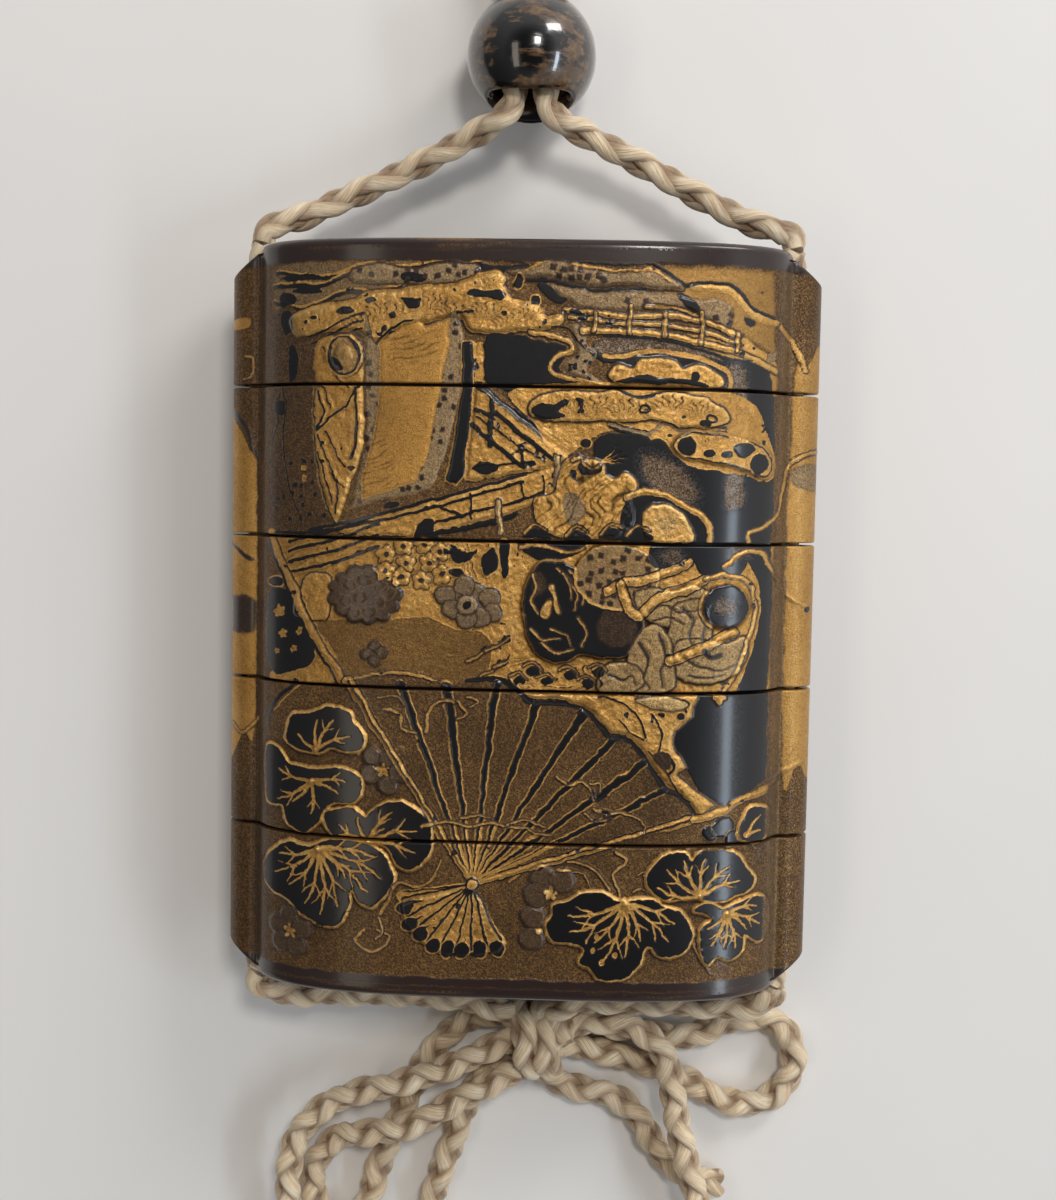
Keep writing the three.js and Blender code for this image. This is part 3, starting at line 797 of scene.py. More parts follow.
def curl(points, width, finish="gold", height=0.05):  # a brush line with a dark shadow line beside it
    stroke = line(points, width, width * 0.55)
    put(stroke.grown(0.12), "plain")
    put(stroke, finish)
    addLift(stroke, height, width / 2)


def bank(points, width=0.6):  # a gold shore line
    stroke = line(points, width)
    put(stroke.grown(0.1), "plain")
    put(stroke, "gold")
    addLift(stroke, 0.1, width / 2)


def drawSky():  # the lid: mist bands, pine, the blind's head, the bridge and the first cloud
    field = area([(-26, 22), (-26, 36), (26, 36), (26, 22)], curved=False)
    put(field, "nashiji")
    put(area([(12, 35.2), (25, 35.2), (25.4, 26), (21, 28.6), (14, 31)], curved=False), "gold", 0.5, 0.6)
    put(area([(-24.6, 29.5), (-24.6, 35), (-17, 35.2), (-5, 35.4), (-2, 33), (-16, 31), (-20, 29.5)]), "mist", 0.55, 0.6)
    for points, width in (
        ([(-24.5, 34.5), (-21, 33.9), (-18, 34.0), (-15, 34.9), (-12, 34.6), (-9, 35.0), (-6, 35.35), (-3.8, 34.8)], 0.22),
        ([(-25, 33.1), (-22, 33.2), (-19.4, 33.1), (-17.5, 33.9), (-15.5, 34.3), (-12.4, 34.2)], 0.2),
        ([(-24.8, 31.6), (-22, 30.9), (-19.6, 31.4), (-17, 32.4), (-14.5, 32.3), (-11.6, 32.9)], 0.2),
    ):
        put(line([(x, y - 0.3) for x, y in points], width + 0.18), "black", 0.9)
        put(line(points, width), "gold")
        addLift(line(points, width), 0.06, 0.1)
    for shape in (
        area([(-24.2, 33.5), (-22.4, 33.9), (-19.8, 33.8), (-21.6, 33.3)]), area([(-22.8, 32.4), (-21, 32.8), (-19.4, 32.3), (-21, 32)]),
        area([(-24, 32.2), (-22.6, 32), (-22.4, 31.2), (-24, 31.1)]), area([(-11.7, 33.7), (-10.5, 34), (-9, 33.9), (-9.2, 33.3), (-11.3, 33.2)]),
        area([(-4.4, 34.9), (-2, 34.7), (0.6, 35), (0.4, 34.4), (-1.4, 34.2), (-2.6, 33.6), (-4, 34.2)]),
    ):
        put(shape, "black", 0.95)
    hills = area([(-16.4, 34.2), (-13.6, 34.8), (-11, 34.3), (-8.2, 34.7), (-5, 34.9), (-4, 33.8), (-6.4, 33.1), (-9, 33),
                  (-11.8, 33), (-14, 33), (-16.4, 33.1)])
    put(hills.grown(0.12), "plain")
    put(hills, "mist")
    lift(hills, 0.15)
    put(area([(-11.6, 33.8), (-9.2, 33.9), (-9.4, 33.2), (-11.3, 33.2)]), "black")
    squares(hills, 0.95, 0.5, "plain", 0.85, 0.2)
    rightMist = area([(-1.4, 34.2), (0.6, 34.6), (2.6, 35.2), (5, 34.9), (7.4, 34.3), (10, 34.2), (12.6, 34.4), (14.6, 33.7),
                      (15.8, 32.8), (13.4, 32.7), (10.6, 33), (7.8, 32.9), (5.4, 33.2), (2.6, 33.6), (0.4, 33.6)])
    put(rightMist.grown(0.14), "plain")
    put(rightMist, "mist")
    put(rightMist, "gold", 0.3)
    lift(rightMist, 0.2)
    squares(area([(1.4, 34.8), (5, 34.9), (8, 34.1), (8.6, 33), (6, 33), (3, 33.8)]), 0.86, 0.56, "plain", 0.95, 0.15)
    squares(rightMist, 1.5, 0.4, "plain", 0.4, 0.2)
    for points, width in (
        ([(0.4, 34.4), (2, 35.1), (4, 35.2), (6, 34.8), (8.4, 34.4), (11, 34.5), (13, 34.4), (14.6, 33.4)], 0.24),
        ([(16.6, 32.9), (18.4, 32.9), (20.2, 32.7), (21.4, 31.8), (22.6, 30.7), (24, 30.1), (25.6, 29.9)], 0.5),
    ):
        put(line(points, width), "gold")
        addLift(line(points, width), 0.08, 0.1)
    put(line([(0, 35.2), (3, 35.5), (8, 35), (12, 35.2), (14, 34.4), (15.6, 33.2), (16.6, 33.2), (18.4, 33.5), (20.4, 33.2),
              (21.8, 32.1), (23, 30.9), (24.8, 30.4)], 0.34), "black")
    put(line([(0.6, 33.3), (3, 33.3), (6, 32.7), (9, 32.5), (12, 32.7)], 0.34), "black", 0.9)
    secondMist = area([(2.8, 32.9), (5, 32.7), (7.6, 32.3), (11, 32.4), (15, 32.2), (17, 31.9), (19.6, 31.8), (20.6, 30.6), (19.6, 28.6),
                       (18.4, 29.8), (15.6, 30.9), (13, 30.8), (9.6, 30.6), (7, 30.6), (5, 31.2)])
    put(secondMist, "mist")
    put(secondMist, "gold", 0.25)
    lift(secondMist, 0.16)
    squares(area([(9, 31.8), (13, 32), (12.8, 31), (9, 30.9)]), 0.9, 0.5, "plain", 0.9)
    squares(area([(17.6, 31.2), (20.2, 30.8), (20.9, 28.8), (19.8, 28.8), (18, 30)]), 0.9, 0.5, "plain", 0.9)
    put(area([(1.5, 33), (2.6, 33), (3.6, 32.1), (4.5, 31.6), (3.8, 31.2), (2.6, 31.7)]), "black")
    put(area([(15, 32.3), (16, 32.2), (17.3, 31.2), (17.2, 30.6), (16, 31)]), "black")
    put(area([(21.8, 30.4), (22.8, 29.9), (22.5, 29.5), (21.9, 29.7)]), "black")
    put(area([(20, 22), (20, 25.6), (22, 25.2), (24, 24.2), (25, 22)]), "black", 0.95)
    goldSlope = area([(21, 28.4), (23, 27.4), (25.4, 25.8), (25.6, 23), (24.6, 23), (23.6, 24.8), (21.4, 26), (16, 27.6), (12, 28.4)])
    put(goldSlope, "gold", 0.8, 0.15)
    leafSpray = oval(24.6, 26.6, 0.9, 0.5, 0.8, 4, 0.5)
    put(leafSpray, "mist")


def drawPineOnLid():
    canopy = area([(-23, 29.8), (-20, 31), (-17, 31.3), (-14.6, 32.3), (-12, 32.4), (-9.6, 32.9), (-7, 32.9), (-5, 33.6),
                   (-2.6, 34.3), (-1.6, 33.6), (-0.9, 31.8), (1.6, 31.2), (2.3, 30), (3.9, 30.2), (4.1, 29.3), (2.4, 28.6),
                   (-1, 28.3), (-3.4, 28.2), (-5, 28.4), (-5.8, 29.8), (-7.6, 29.6), (-10, 28.9), (-12, 28.4), (-14, 27.2),
                   (-16, 28.2), (-19, 28.3), (-22, 27.6)])
    put(canopy.grown(0.1), "plain")
    put(canopy, "gold")
    lift(canopy, 0.24, 0.5)
    for x, y, halfX, halfY in ((-13.2, 30.2, 2.6, 1.1), (-8.6, 31.2, 2.2, 1), (-6.4, 30.4, 2.2, 0.9), (-3.4, 30.4, 2.3, 1),
                               (-1, 29.6, 2, 0.9), (-15.6, 29.2, 1.9, 0.9), (-3.2, 33.1, 1.6, 0.7), (0.6, 30.3, 1.7, 0.8)):
        needles(x, y, halfX, halfY)
    for shape in (
        area([(-5.3, 32), (-4.4, 32.5), (-3.4, 32.3), (-2.2, 32.4), (-1.4, 32), (-1.8, 31.5), (-3, 31.6), (-4.4, 31.7)]),
        area([(-11.7, 31.5), (-10.6, 31.4), (-9.6, 31.5), (-9.9, 30.7), (-10.8, 30.5), (-11.4, 31.1)]),
        area([(-15.2, 31.4), (-14.4, 31.6), (-14, 31.3), (-14.8, 31)]), oval(-1.6, 30.2, 0.3, 0.2), oval(-20.4, 29.7, 0.3, 0.2),
        area([(1, 31.9), (1.7, 31.9), (1.8, 31.1), (1, 31.2)]), area([(-0.4, 33.9), (0.2, 33.6), (0, 32.6), (-0.6, 32.8)]),
    ):
        outlined(shape, "black", 0.14, 0.0, 0.06)
    put(line([(-14, 27.1), (-12.6, 28.5), (-10.4, 29.4), (-9.8, 28.9), (-8, 29.1), (-6.6, 30.1), (-4.6, 30.3)], 0.2), "black")
    for shift in (0, -0.75, -1.5):
        stair = [(-22.6, 27.6 + shift), (-20, 28.1 + shift), (-17.6, 29.3 + shift), (-15.4, 30.1 + shift)]
        put(line(stair, 0.22), "black", 0.9)
    put(oval(-17.1, 30.3, 1.0, 0.35), "black", 0.8)


def drawHouse():  # curtain, robe, blind, post, lattice and rails, over the lid and the first case
    strip = area([(-25.2, 8.4), (-25.2, 30), (-23, 31), (-19.9, 26), (-19.9, 18), (-19.3, 13), (-17.6, 9.2)], curved=False)
    put(strip, "plain", 0.55, 0.3)
    put(strip, "gold", 0.28, 0.3)
    put(area([(-23.9, 30), (-23, 30.4), (-22.6, 28.6), (-23.6, 28.2)]), "black", 0.8)
    put(area([(-23, 23.6), (-23, 26.8), (-22.4, 27), (-21.9, 25.4), (-22.3, 23.8)]), "black", 0.8)
    for points, width in (
        ([(-23.8, 23.1), (-23.6, 22), (-23.2, 21), (-23.6, 19.6), (-23.5, 17), (-23.2, 14.5), (-22.5, 12), (-21.4, 9.6)], 0.2),
        ([(-24, 22.4), (-24.6, 21), (-24.3, 19.6), (-24.9, 17.6), (-25, 15)], 0.2),
    ):
        put(line(points, width), "black", 0.85)
    put(area([(-24.2, 21.6), (-23.5, 21.5), (-23.5, 20.4), (-24.3, 20.2), (-24.5, 20.9)]), "black", 0.8)
    squares(area([(-24.6, 9), (-24.6, 14), (-21.8, 16.6), (-20.2, 16.2), (-19.8, 12), (-18.6, 9.6)], curved=False), 1.05, 0.42, "black", 0.6)
    squares(area([(-22.2, 13), (-22.2, 15), (-20.8, 15), (-20.6, 13)]), 1.0, 0.5, "gold", 0.7)
    robe = area([(-19.9, 27.4), (-15.6, 27.4), (-15.2, 23), (-15.1, 19), (-15.5, 16), (-16.8, 12.4), (-17.8, 9.6), (-18.8, 11.4),
                 (-19.8, 15.5), (-20.2, 19), (-20.2, 23)])
    put(robe, "gold")
    lift(robe, 0.2)
    folds = (
        ([(-19.9, 22.6), (-19.3, 20.6), (-20, 19)], 0.24), ([(-20, 18.7), (-18.6, 20), (-17, 21), (-16.2, 22.4)], 0.26),
        ([(-19.8, 18.2), (-18.6, 15.4), (-17.8, 13.2), (-17.9, 10.6)], 0.2), ([(-19.8, 16.6), (-19, 14), (-18.2, 11.4)], 0.18),
        ([(-19, 18.6), (-17.8, 16.4), (-17, 15.2)], 0.2), ([(-16, 22.8), (-15.9, 20), (-15.9, 17.6), (-16.4, 16)], 0.3),
        ([(-20, 23.1), (-19.2, 22.8), (-18.6, 20.8)], 0.16), ([(-19.4, 26.8), (-18, 24), (-16.8, 22.8)], 0.18),
        ([(-18.6, 14.6), (-17.4, 13.4), (-17, 13.2)], 0.14),
    )
    for points, width in folds:
        put(line(points, width), "black", 0.85)
        addLift(line([(x + 0.3, y + 0.1) for x, y in points], 0.3), 0.08)
    hatch(robe, 1.9, 0.42, 0.28, 0.02)
    put(line([(-20.3, 23.1), (-20.2, 18), (-19.7, 14), (-18.9, 11.4), (-18, 9.7)], 0.22), "silver")
    head = oval(-17.2, 26, 1.35, 1.75, 0.1)
    put(oval(-17.1, 26, 1.95, 2.15), "plain")
    outlined(oval(-17.2, 26, 1.7, 1.9), "black", 0.2, 0.2)
    put(head, "silver", 0.7)
    put(head, "gold", 0.5)
    lift(head, 0.45, 0.9)
    put(area([(-18.5, 25.9), (-17.7, 25.6), (-17.3, 24.6), (-18.2, 24.7)]), "black")
    blind = area([(-15.2, 30.4), (-15.2, 23), (-14.9, 17), (-16, 13), (-16.5, 11), (-13, 12), (-10, 12.6), (-8.2, 13.4), (-7.2, 16),
                  (-6.2, 20), (-5.6, 23), (-5.2, 27), (-6.2, 30.4), (-9, 29), (-12, 28.4), (-14, 27.2)], curved=False)
    put(blind, "mist")
    put(blind, "gold", 0.12)
    lift(blind, 0.12)
    squares(blind, 1.0, 0.46, "plain", 0.5)
    paper = area([(-13.6, 27.2), (-12.6, 28.3), (-10.3, 29.4), (-9, 28.9), (-7.6, 29.5), (-6.9, 30), (-6.9, 27), (-7.6, 23), (-8.3, 19),
                  (-9, 15.7), (-10, 13.9), (-12.4, 12.9), (-15.4, 11.9), (-15.2, 14.2), (-14.2, 18), (-13.6, 23)], curved=False)
    put(paper, "gold")
    shade(paper, -0.09)
    lift(paper, 0.16)
    calmDown(blind)
    hatch(area([(-12.6, 28), (-7.6, 28.4), (-8, 25.6), (-12.6, 25)], curved=False), 0.25, 0.55, 0.5)
    hatch(area([(-15, 18), (-13, 18.4), (-11.6, 13.4), (-15.4, 12.2)], curved=False), 0.35, 0.5, 0.55)
    hatch(paper, 0.2, 0.36, 0.14)
    outlined(area([(-5.5, 27.3), (-4.5, 27.3), (-4.4, 23), (-4.9, 18), (-5.3, 14.2), (-6, 13.5), (-7, 13.8), (-6.9, 14.6),
                   (-6.2, 18), (-5.6, 23)], curved=False), "black", 0.14, 0.16)
    put(area([(-4.4, 27.4), (-3.5, 27.4), (-3.4, 25), (-3.1, 23.5), (-4.2, 23.6), (-4.2, 25)], curved=False), "gold")
    put(line([(-4.4, 23.2), (-4.6, 18), (-5, 14)], 0.26), "gold")
    lattice = area([(-4.2, 23.1), (-3.6, 23.1), (5, 16.5), (5, 15.7), (-5, 13.9), (-4.6, 18)], curved=False)
    put(lattice, "gold")
    lift(lattice, 0.14)
    bars = (
        ((-3.9, 23.1), (4.6, 16.9), 0.57), ((-2.6, 22.2), (-2.7, 17.4), 0.49), ((-4.2, 20.9), (-2.7, 20.4), 0.41),
        ((-4.5, 19.3), (0.6, 15.4), 0.46), ((-4, 20.2), (2.6, 15.9), 0.19), ((-2.3, 20.6), (3.4, 16.2), 0.46),
        ((-0.4, 21), (4.9, 17), 0.22), ((-4.4, 15.2), (1.4, 16), 0.22), ((0.3, 17.6), (0.5, 15.6), 0.30),
    )
    for start, stop, width in bars:
        put(line([start, stop], width, curved=False), "black")
        addLift(line([(start[0] + 0.2, start[1] + 0.3), (stop[0] + 0.2, stop[1] + 0.3)], 0.22, curved=False), 0.08)
    put(area([(-4.4, 15.3), (-3.3, 15.9), (-2, 15.6), (-2.3, 14.9), (-3.4, 14.6)]), "black")
    hatch(lattice, -0.65, 0.5, 0.3)
    boards = area([(-18.4, 9), (-14, 10.2), (-10, 11.3), (-6, 12.7), (-1, 14.2), (4.4, 15.7), (4.4, 13.4), (1, 11.6), (-1, 10.7), (-6, 9.4),
                   (-9, 8.4), (-16, 8.4)], curved=False)
    put(boards, "gold")
    lift(boards, 0.12)
    hatch(boards, 0.3, 0.45, 0.3)
    for points, width in (
        ([(-20.6, 8.9), (-16, 9.9), (-12, 11), (-8, 12.1), (-4, 13.3), (0.8, 14.7)], 0.3),
        ([(-14, 9.8), (-9, 11.1), (-4, 12.6), (0.6, 14)], 0.28), ([(-9.4, 9.5), (-4.6, 10.8), (0, 12.1), (2.4, 13)], 0.3),
        ([(-9.2, 8.6), (-4, 9.6), (0, 10.8)], 0.5), ([(-4.6, 12.7), (-4.4, 10.3)], 0.24), ([(0.3, 14), (0.6, 12.4)], 0.2),
        ([(2.4, 14.6), (2.6, 12.4)], 0.2), ([(-7.4, 11.3), (-5.2, 10.6)], 0.28),
    ):
        put(line(points, width), "black")
    put(area([(-9.9, 8.3), (-9.6, 9.4), (-9, 10.3), (-8.2, 10.1), (-8.1, 9), (-7.6, 8.3)]), "black")
    put(area([(-13, 11.3), (-12.4, 11.8), (-11.6, 11.9), (-11.5, 11.5), (-12.4, 11.2)]), "black")
    put(line([(-24.6, 8.5), (-20, 8.7), (-16, 9.4), (-13.6, 9.9)], 0.32), "black", 0.9)
    for post in (((3.9, 16.6), (3.9, 12.8)), ((-1.8, 12), (-1.6, 9))):
        stroke = line(post, 0.5, curved=False)
        put(stroke.grown(0.12), "plain")
        put(stroke, "silver")
        addLift(stroke, 0.14, 0.2)


def drawWaterAndClouds():  # right of the house, over the lid and the first case
    put(area([(-3.2, 28), (0, 28), (4.4, 27), (4, 24.8), (7, 23.4), (9, 23), (8.4, 21.9), (2, 21.4), (-1, 22.6), (-3.2, 23.6)]), "black")
    put(area([(8, 25.6), (8, 28), (12, 28.2), (16, 27.6), (20.6, 26.2), (24.6, 24.4), (24.8, 8), (18, 8), (8.4, 15), (8, 18.6), (14, 18.8),
              (19, 21), (20.4, 24.2)]), "black")
    # a grey sheen painted over the black water: painted reflection of the light, partly a dusting of powder
    put(area([(8, 26.4), (8, 28), (16, 27.6), (20, 26), (17, 26.4), (12, 26.8)]), "dust", 0.75, 0.3)
    put(area([(20.2, 25.4), (22, 25), (22.2, 20.4), (20.8, 19.6), (20, 21)]), "dust", 0.85, 0.5)
    put(area([(13, 17), (16.6, 16.2), (18, 13.2), (15.4, 12.4), (12.6, 14)]), "dust", 0.7, 0.6)
    put(area([(20.2, 15.2), (22, 15.2), (22.2, 12), (20, 11.8)]), "dust", 0.8, 0.4)
    bank([(1, 28.4), (3, 28.1), (4.8, 27.4), (5, 26.6), (3.9, 26.3), (3.1, 25.5), (3.2, 24.6), (5, 24), (7, 23.7), (8.6, 23.3)], 0.42)
    reeds = area([(4.8, 29), (6.2, 29), (6.6, 27.2), (7.4, 26.4), (6.6, 24.6), (8, 23.7), (5, 24.3), (4.4, 25.6), (5.6, 26.6)])
    put(reeds, "mist")
    lift(reeds, 0.2)
    squares(reeds, 0.7, 0.36, "black", 0.75)
    put(line([(3, 28.9), (4.4, 28.8), (5.6, 27.6), (7, 26.4)], 0.2), "black")
    for rail, width in (
        ([(4.3, 30.6), (8, 30.2), (11, 30), (14.4, 30.2), (18, 29.6), (21.2, 28.5)], 0.5),
        ([(4.8, 29.9), (9, 29.4), (13, 29.3), (17, 28.9), (21.2, 27.7)], 0.36),
        ([(6, 28.6), (10, 28.6), (14, 28.3), (18, 27.6), (22, 26.6), (25.2, 25.2)], 0.55),
        ([(12, 31), (14.8, 30.9), (17.6, 30.2)], 0.26),
    ):
        stroke = line(rail, width)
        put(stroke.grown(0.13), "plain")
        put(stroke, "gold")
        addLift(stroke, 0.13, 0.2)
    for x, low, high in ((7.1, 28.6, 30.2), (10.5, 28.4, 31), (13.9, 28.2, 30.4), (17.5, 27.6, 30.6), (21, 27, 28.8)):
        stroke = line([(x, low), (x + 0.1, high)], 0.34, curved=False)
        put(stroke.grown(0.12), "plain")
        put(stroke, "gold")
        addLift(stroke, 0.16, 0.15)
    put(line([(8, 28.2), (12, 28.1), (16, 27.4), (20, 26.3), (24, 24.9)], 0.24), "black")
    cloudBody = area([(8.6, 24.4), (9.6, 25.4), (11, 25.2), (11.8, 26), (13.4, 26.1), (15, 25.9), (15.8, 25.2), (17.4, 25.6), (18.6, 25),
                      (19.6, 24.2), (19.4, 23.5), (17, 23.4), (12, 23.8), (9.6, 23.6)])
    put(line([(8.2, 26.2), (10, 26.2), (12.4, 26.8), (15.4, 26.6), (18, 26), (20.2, 24.8), (20.4, 23.2)], 0.5), "gold", 0.8)
    outlined(cloudBody, "gold", 0.16, 0.26, 0.05, "plain")
    hatch(cloudBody, 1.4, 0.5, 0.35)
    put(area([(9.8, 24), (12.4, 24.5), (14, 24.2), (17.6, 23.9), (17.6, 23.3), (9.8, 23.3)]), "black")
    put(oval(17, 24.4, 0.42, 0.5), "black")
    firstPine = area([(1, 21.4), (2, 22.3), (4.4, 22.8), (7, 22.7), (9.4, 22.9), (12, 22.3), (13.6, 22.8), (16, 22.8), (18.6, 22.2), (20.2, 21),
                      (19.8, 19.9), (16, 19.5), (13, 20.2), (10, 20), (7, 20), (4, 20), (1.4, 20.3)])
    put(area([(0, 23.2), (20, 23.2), (24.4, 19), (24.6, 14.4), (15, 16.4), (12, 19), (8, 18.8), (4.4, 16.6), (1.6, 19.6)]), "gold", 0.92)
    put(area([(8.2, 18.4), (12, 18.2), (14, 18.3), (15, 17), (17, 15.7), (20, 15.3), (24, 14), (24.5, 8), (18.8, 8), (18.4, 10.6),
              (15, 12.8), (10.4, 14.2), (8.6, 14.8), (10.6, 16.2)]), "black")
    # the same painted reflection again, partly a dusting of powder, over the gold laid since
    put(area([(12, 17.2), (16, 15.8), (18, 12.6), (15.4, 12.2), (12.4, 14.2)]), "dust", 0.6, 0.7)
    put(area([(20.3, 14.8), (22, 14.8), (22, 12), (20.2, 11.8)]), "dust", 0.75, 0.4)
    outlined(firstPine, "gold", 0.14, 0.26, 0.05, "plain")
    for x, y, halfX, halfY in ((7.6, 21.5, 2, 1), (10.6, 21.3, 2.4, 1), (14.8, 21.8, 2.6, 1), (17.6, 21.3, 2, 0.9), (4.8, 21.3, 1.4, 0.9)):
        needles(x, y, halfX, halfY)
    for shape in (
        area([(1.2, 21), (2, 21.6), (3.2, 21.5), (4.4, 22), (4.7, 21.6), (3.8, 21), (4.6, 20.5), (3.4, 20.2), (1.8, 20.2)]),
        area([(5.4, 22.1), (6.3, 21.9), (6.2, 21.2), (6.4, 20.8), (5.6, 20.8), (5.9, 21.4)]), area([(9.4, 22.9), (11.8, 22.5), (13.2, 22.7), (12, 22.1)]),
        area([(17.6, 20.2), (18.6, 20.3), (18.5, 19.7), (17.6, 19.7)]), area([(18.8, 19.7), (20.2, 19.6), (20, 19.2), (18.8, 19.2)]),
        area([(8.6, 19.8), (10.4, 19.6), (11.8, 19), (12.4, 18.4), (11, 18.7), (9, 19.2)]),
    ):
        put(shape, "black")
    for x, y in ((12.2, 21.2), (18.7, 20.5)):
        put(oval(x, y, 0.62, 0.42).ring(-0.2, 0), "black")
        put(oval(x, y, 0.3, 0.2), "gold")
    band = [(8.8, 19.8), (11.4, 19.2), (12.8, 19), (14, 19.8), (15.8, 19.3), (18, 19.2), (20, 19)]
    put(line(band, 0.5), "mist")
    put(line([(x, y + 0.3) for x, y in band], 0.16), "gold")
    secondPine = area([(15.2, 18.2), (16.4, 18.9), (18.4, 19), (20.6, 18.6), (22.8, 18.2), (24.4, 17.2), (24.9, 15.9), (24.2, 14.9), (22.8, 15.4),
                       (21, 15.9), (18, 16.4), (16, 16.8), (15.1, 17.5)])
    outlined(secondPine, "gold", 0.3, 0.26, 0.06, "gold")
    put(secondPine.ring(-0.1, 0.06), "plain")
    needles(18.4, 18.2, 1.4, 0.6)
    needles(21.2, 18.3, 1.2, 0.5)
    for shape in (oval(16.4, 17.7, 0.88, 0.82), oval(23.6, 16.2, 0.92, 0.95), area([(20.9, 17.6), (22, 18.2), (23, 17.8), (22.6, 17), (21.6, 16.7)]),
                  oval(20.3, 17, 0.6, 0.35), oval(18.6, 17.1, 0.5, 0.38), oval(6.5, 17.8, 0.55, 0.45)):
        outlined(shape, "black", 0.12, 0.0, 0.05)
    shrub = area([(4.2, 15.4), (5.4, 16.6), (6.6, 16.4), (8.2, 16), (8.4, 14.9), (9.4, 14.4), (10.4, 14.9), (11.5, 14.4), (11.6, 13.4), (11, 12.4),
                  (11.4, 10.6), (10.2, 9), (7, 8.6), (4, 8.8), (2, 10), (1.6, 12.4), (3.6, 13)])
    outlined(shrub, "gold", 0.12, 0.2, 0.04, "plain")
    hatch(shrub, 1.1, 0.62, 0.7, -0.04, 0.8)
    hatch(shrub, -0.9, 0.8, 0.4, 0.02, 0.9)
    put(area([(4.6, 13), (6.2, 12.6), (6.6, 11), (5.4, 9.8), (4.6, 10.8)]), "mist", 0.8, 0.2)
    put(area([(6.1, 16), (7.2, 15.2), (8, 15.6), (7.9, 15), (6.9, 14.8), (6, 15)]), "black")
    curl([(5.4, 16.2), (6.2, 16.4), (6.6, 15.7), (7.4, 15.4), (8, 15.8)], 0.3)
    for tip in ((10.6, 16.5), (10.2, 15.9), (10, 17.1), (9.6, 17.7)):
        put(line([(8.2, 16.1), tip], 0.16, 0.04), "gold")
    hillEdge = [(10.6, 12.6), (12.2, 13.2), (14.2, 12.9), (16, 12.1), (17.8, 11), (18.7, 9.8), (18.8, 8.2)]
    put(area(hillEdge + [(10.6, 8.2)]), "black")
    bank(hillEdge, 0.6)
    body = area([(12.5, 11.6), (14, 12), (15.6, 11.5), (16.6, 10.4), (17.2, 8.9), (16, 8.2), (13, 8.4), (12.2, 10)])
    outlined(body, "gold", 0.12, 0.42, 0.05, "plain")
    put(oval(14.6, 10.2, 1.4, 1.1), "silver", 0.5, 0.5)
    hatch(body, 0.9, 0.4, 0.3, 0.03)
    for root in ((0.6, 8.6), (4.6, 8.5), (8, 8.7), (10.6, 8.6)):
        put(area([root, (root[0] + 1, root[1] + 0.9), (root[0] + 2.2, root[1] + 0.6), (root[0] + 2.6, root[1] - 0.1)]), "black")
        curl([(root[0] + 0.2, root[1] + 0.4), (root[0] + 1.2, root[1] + 1.3), (root[0] + 2.4, root[1] + 0.8)], 0.24)


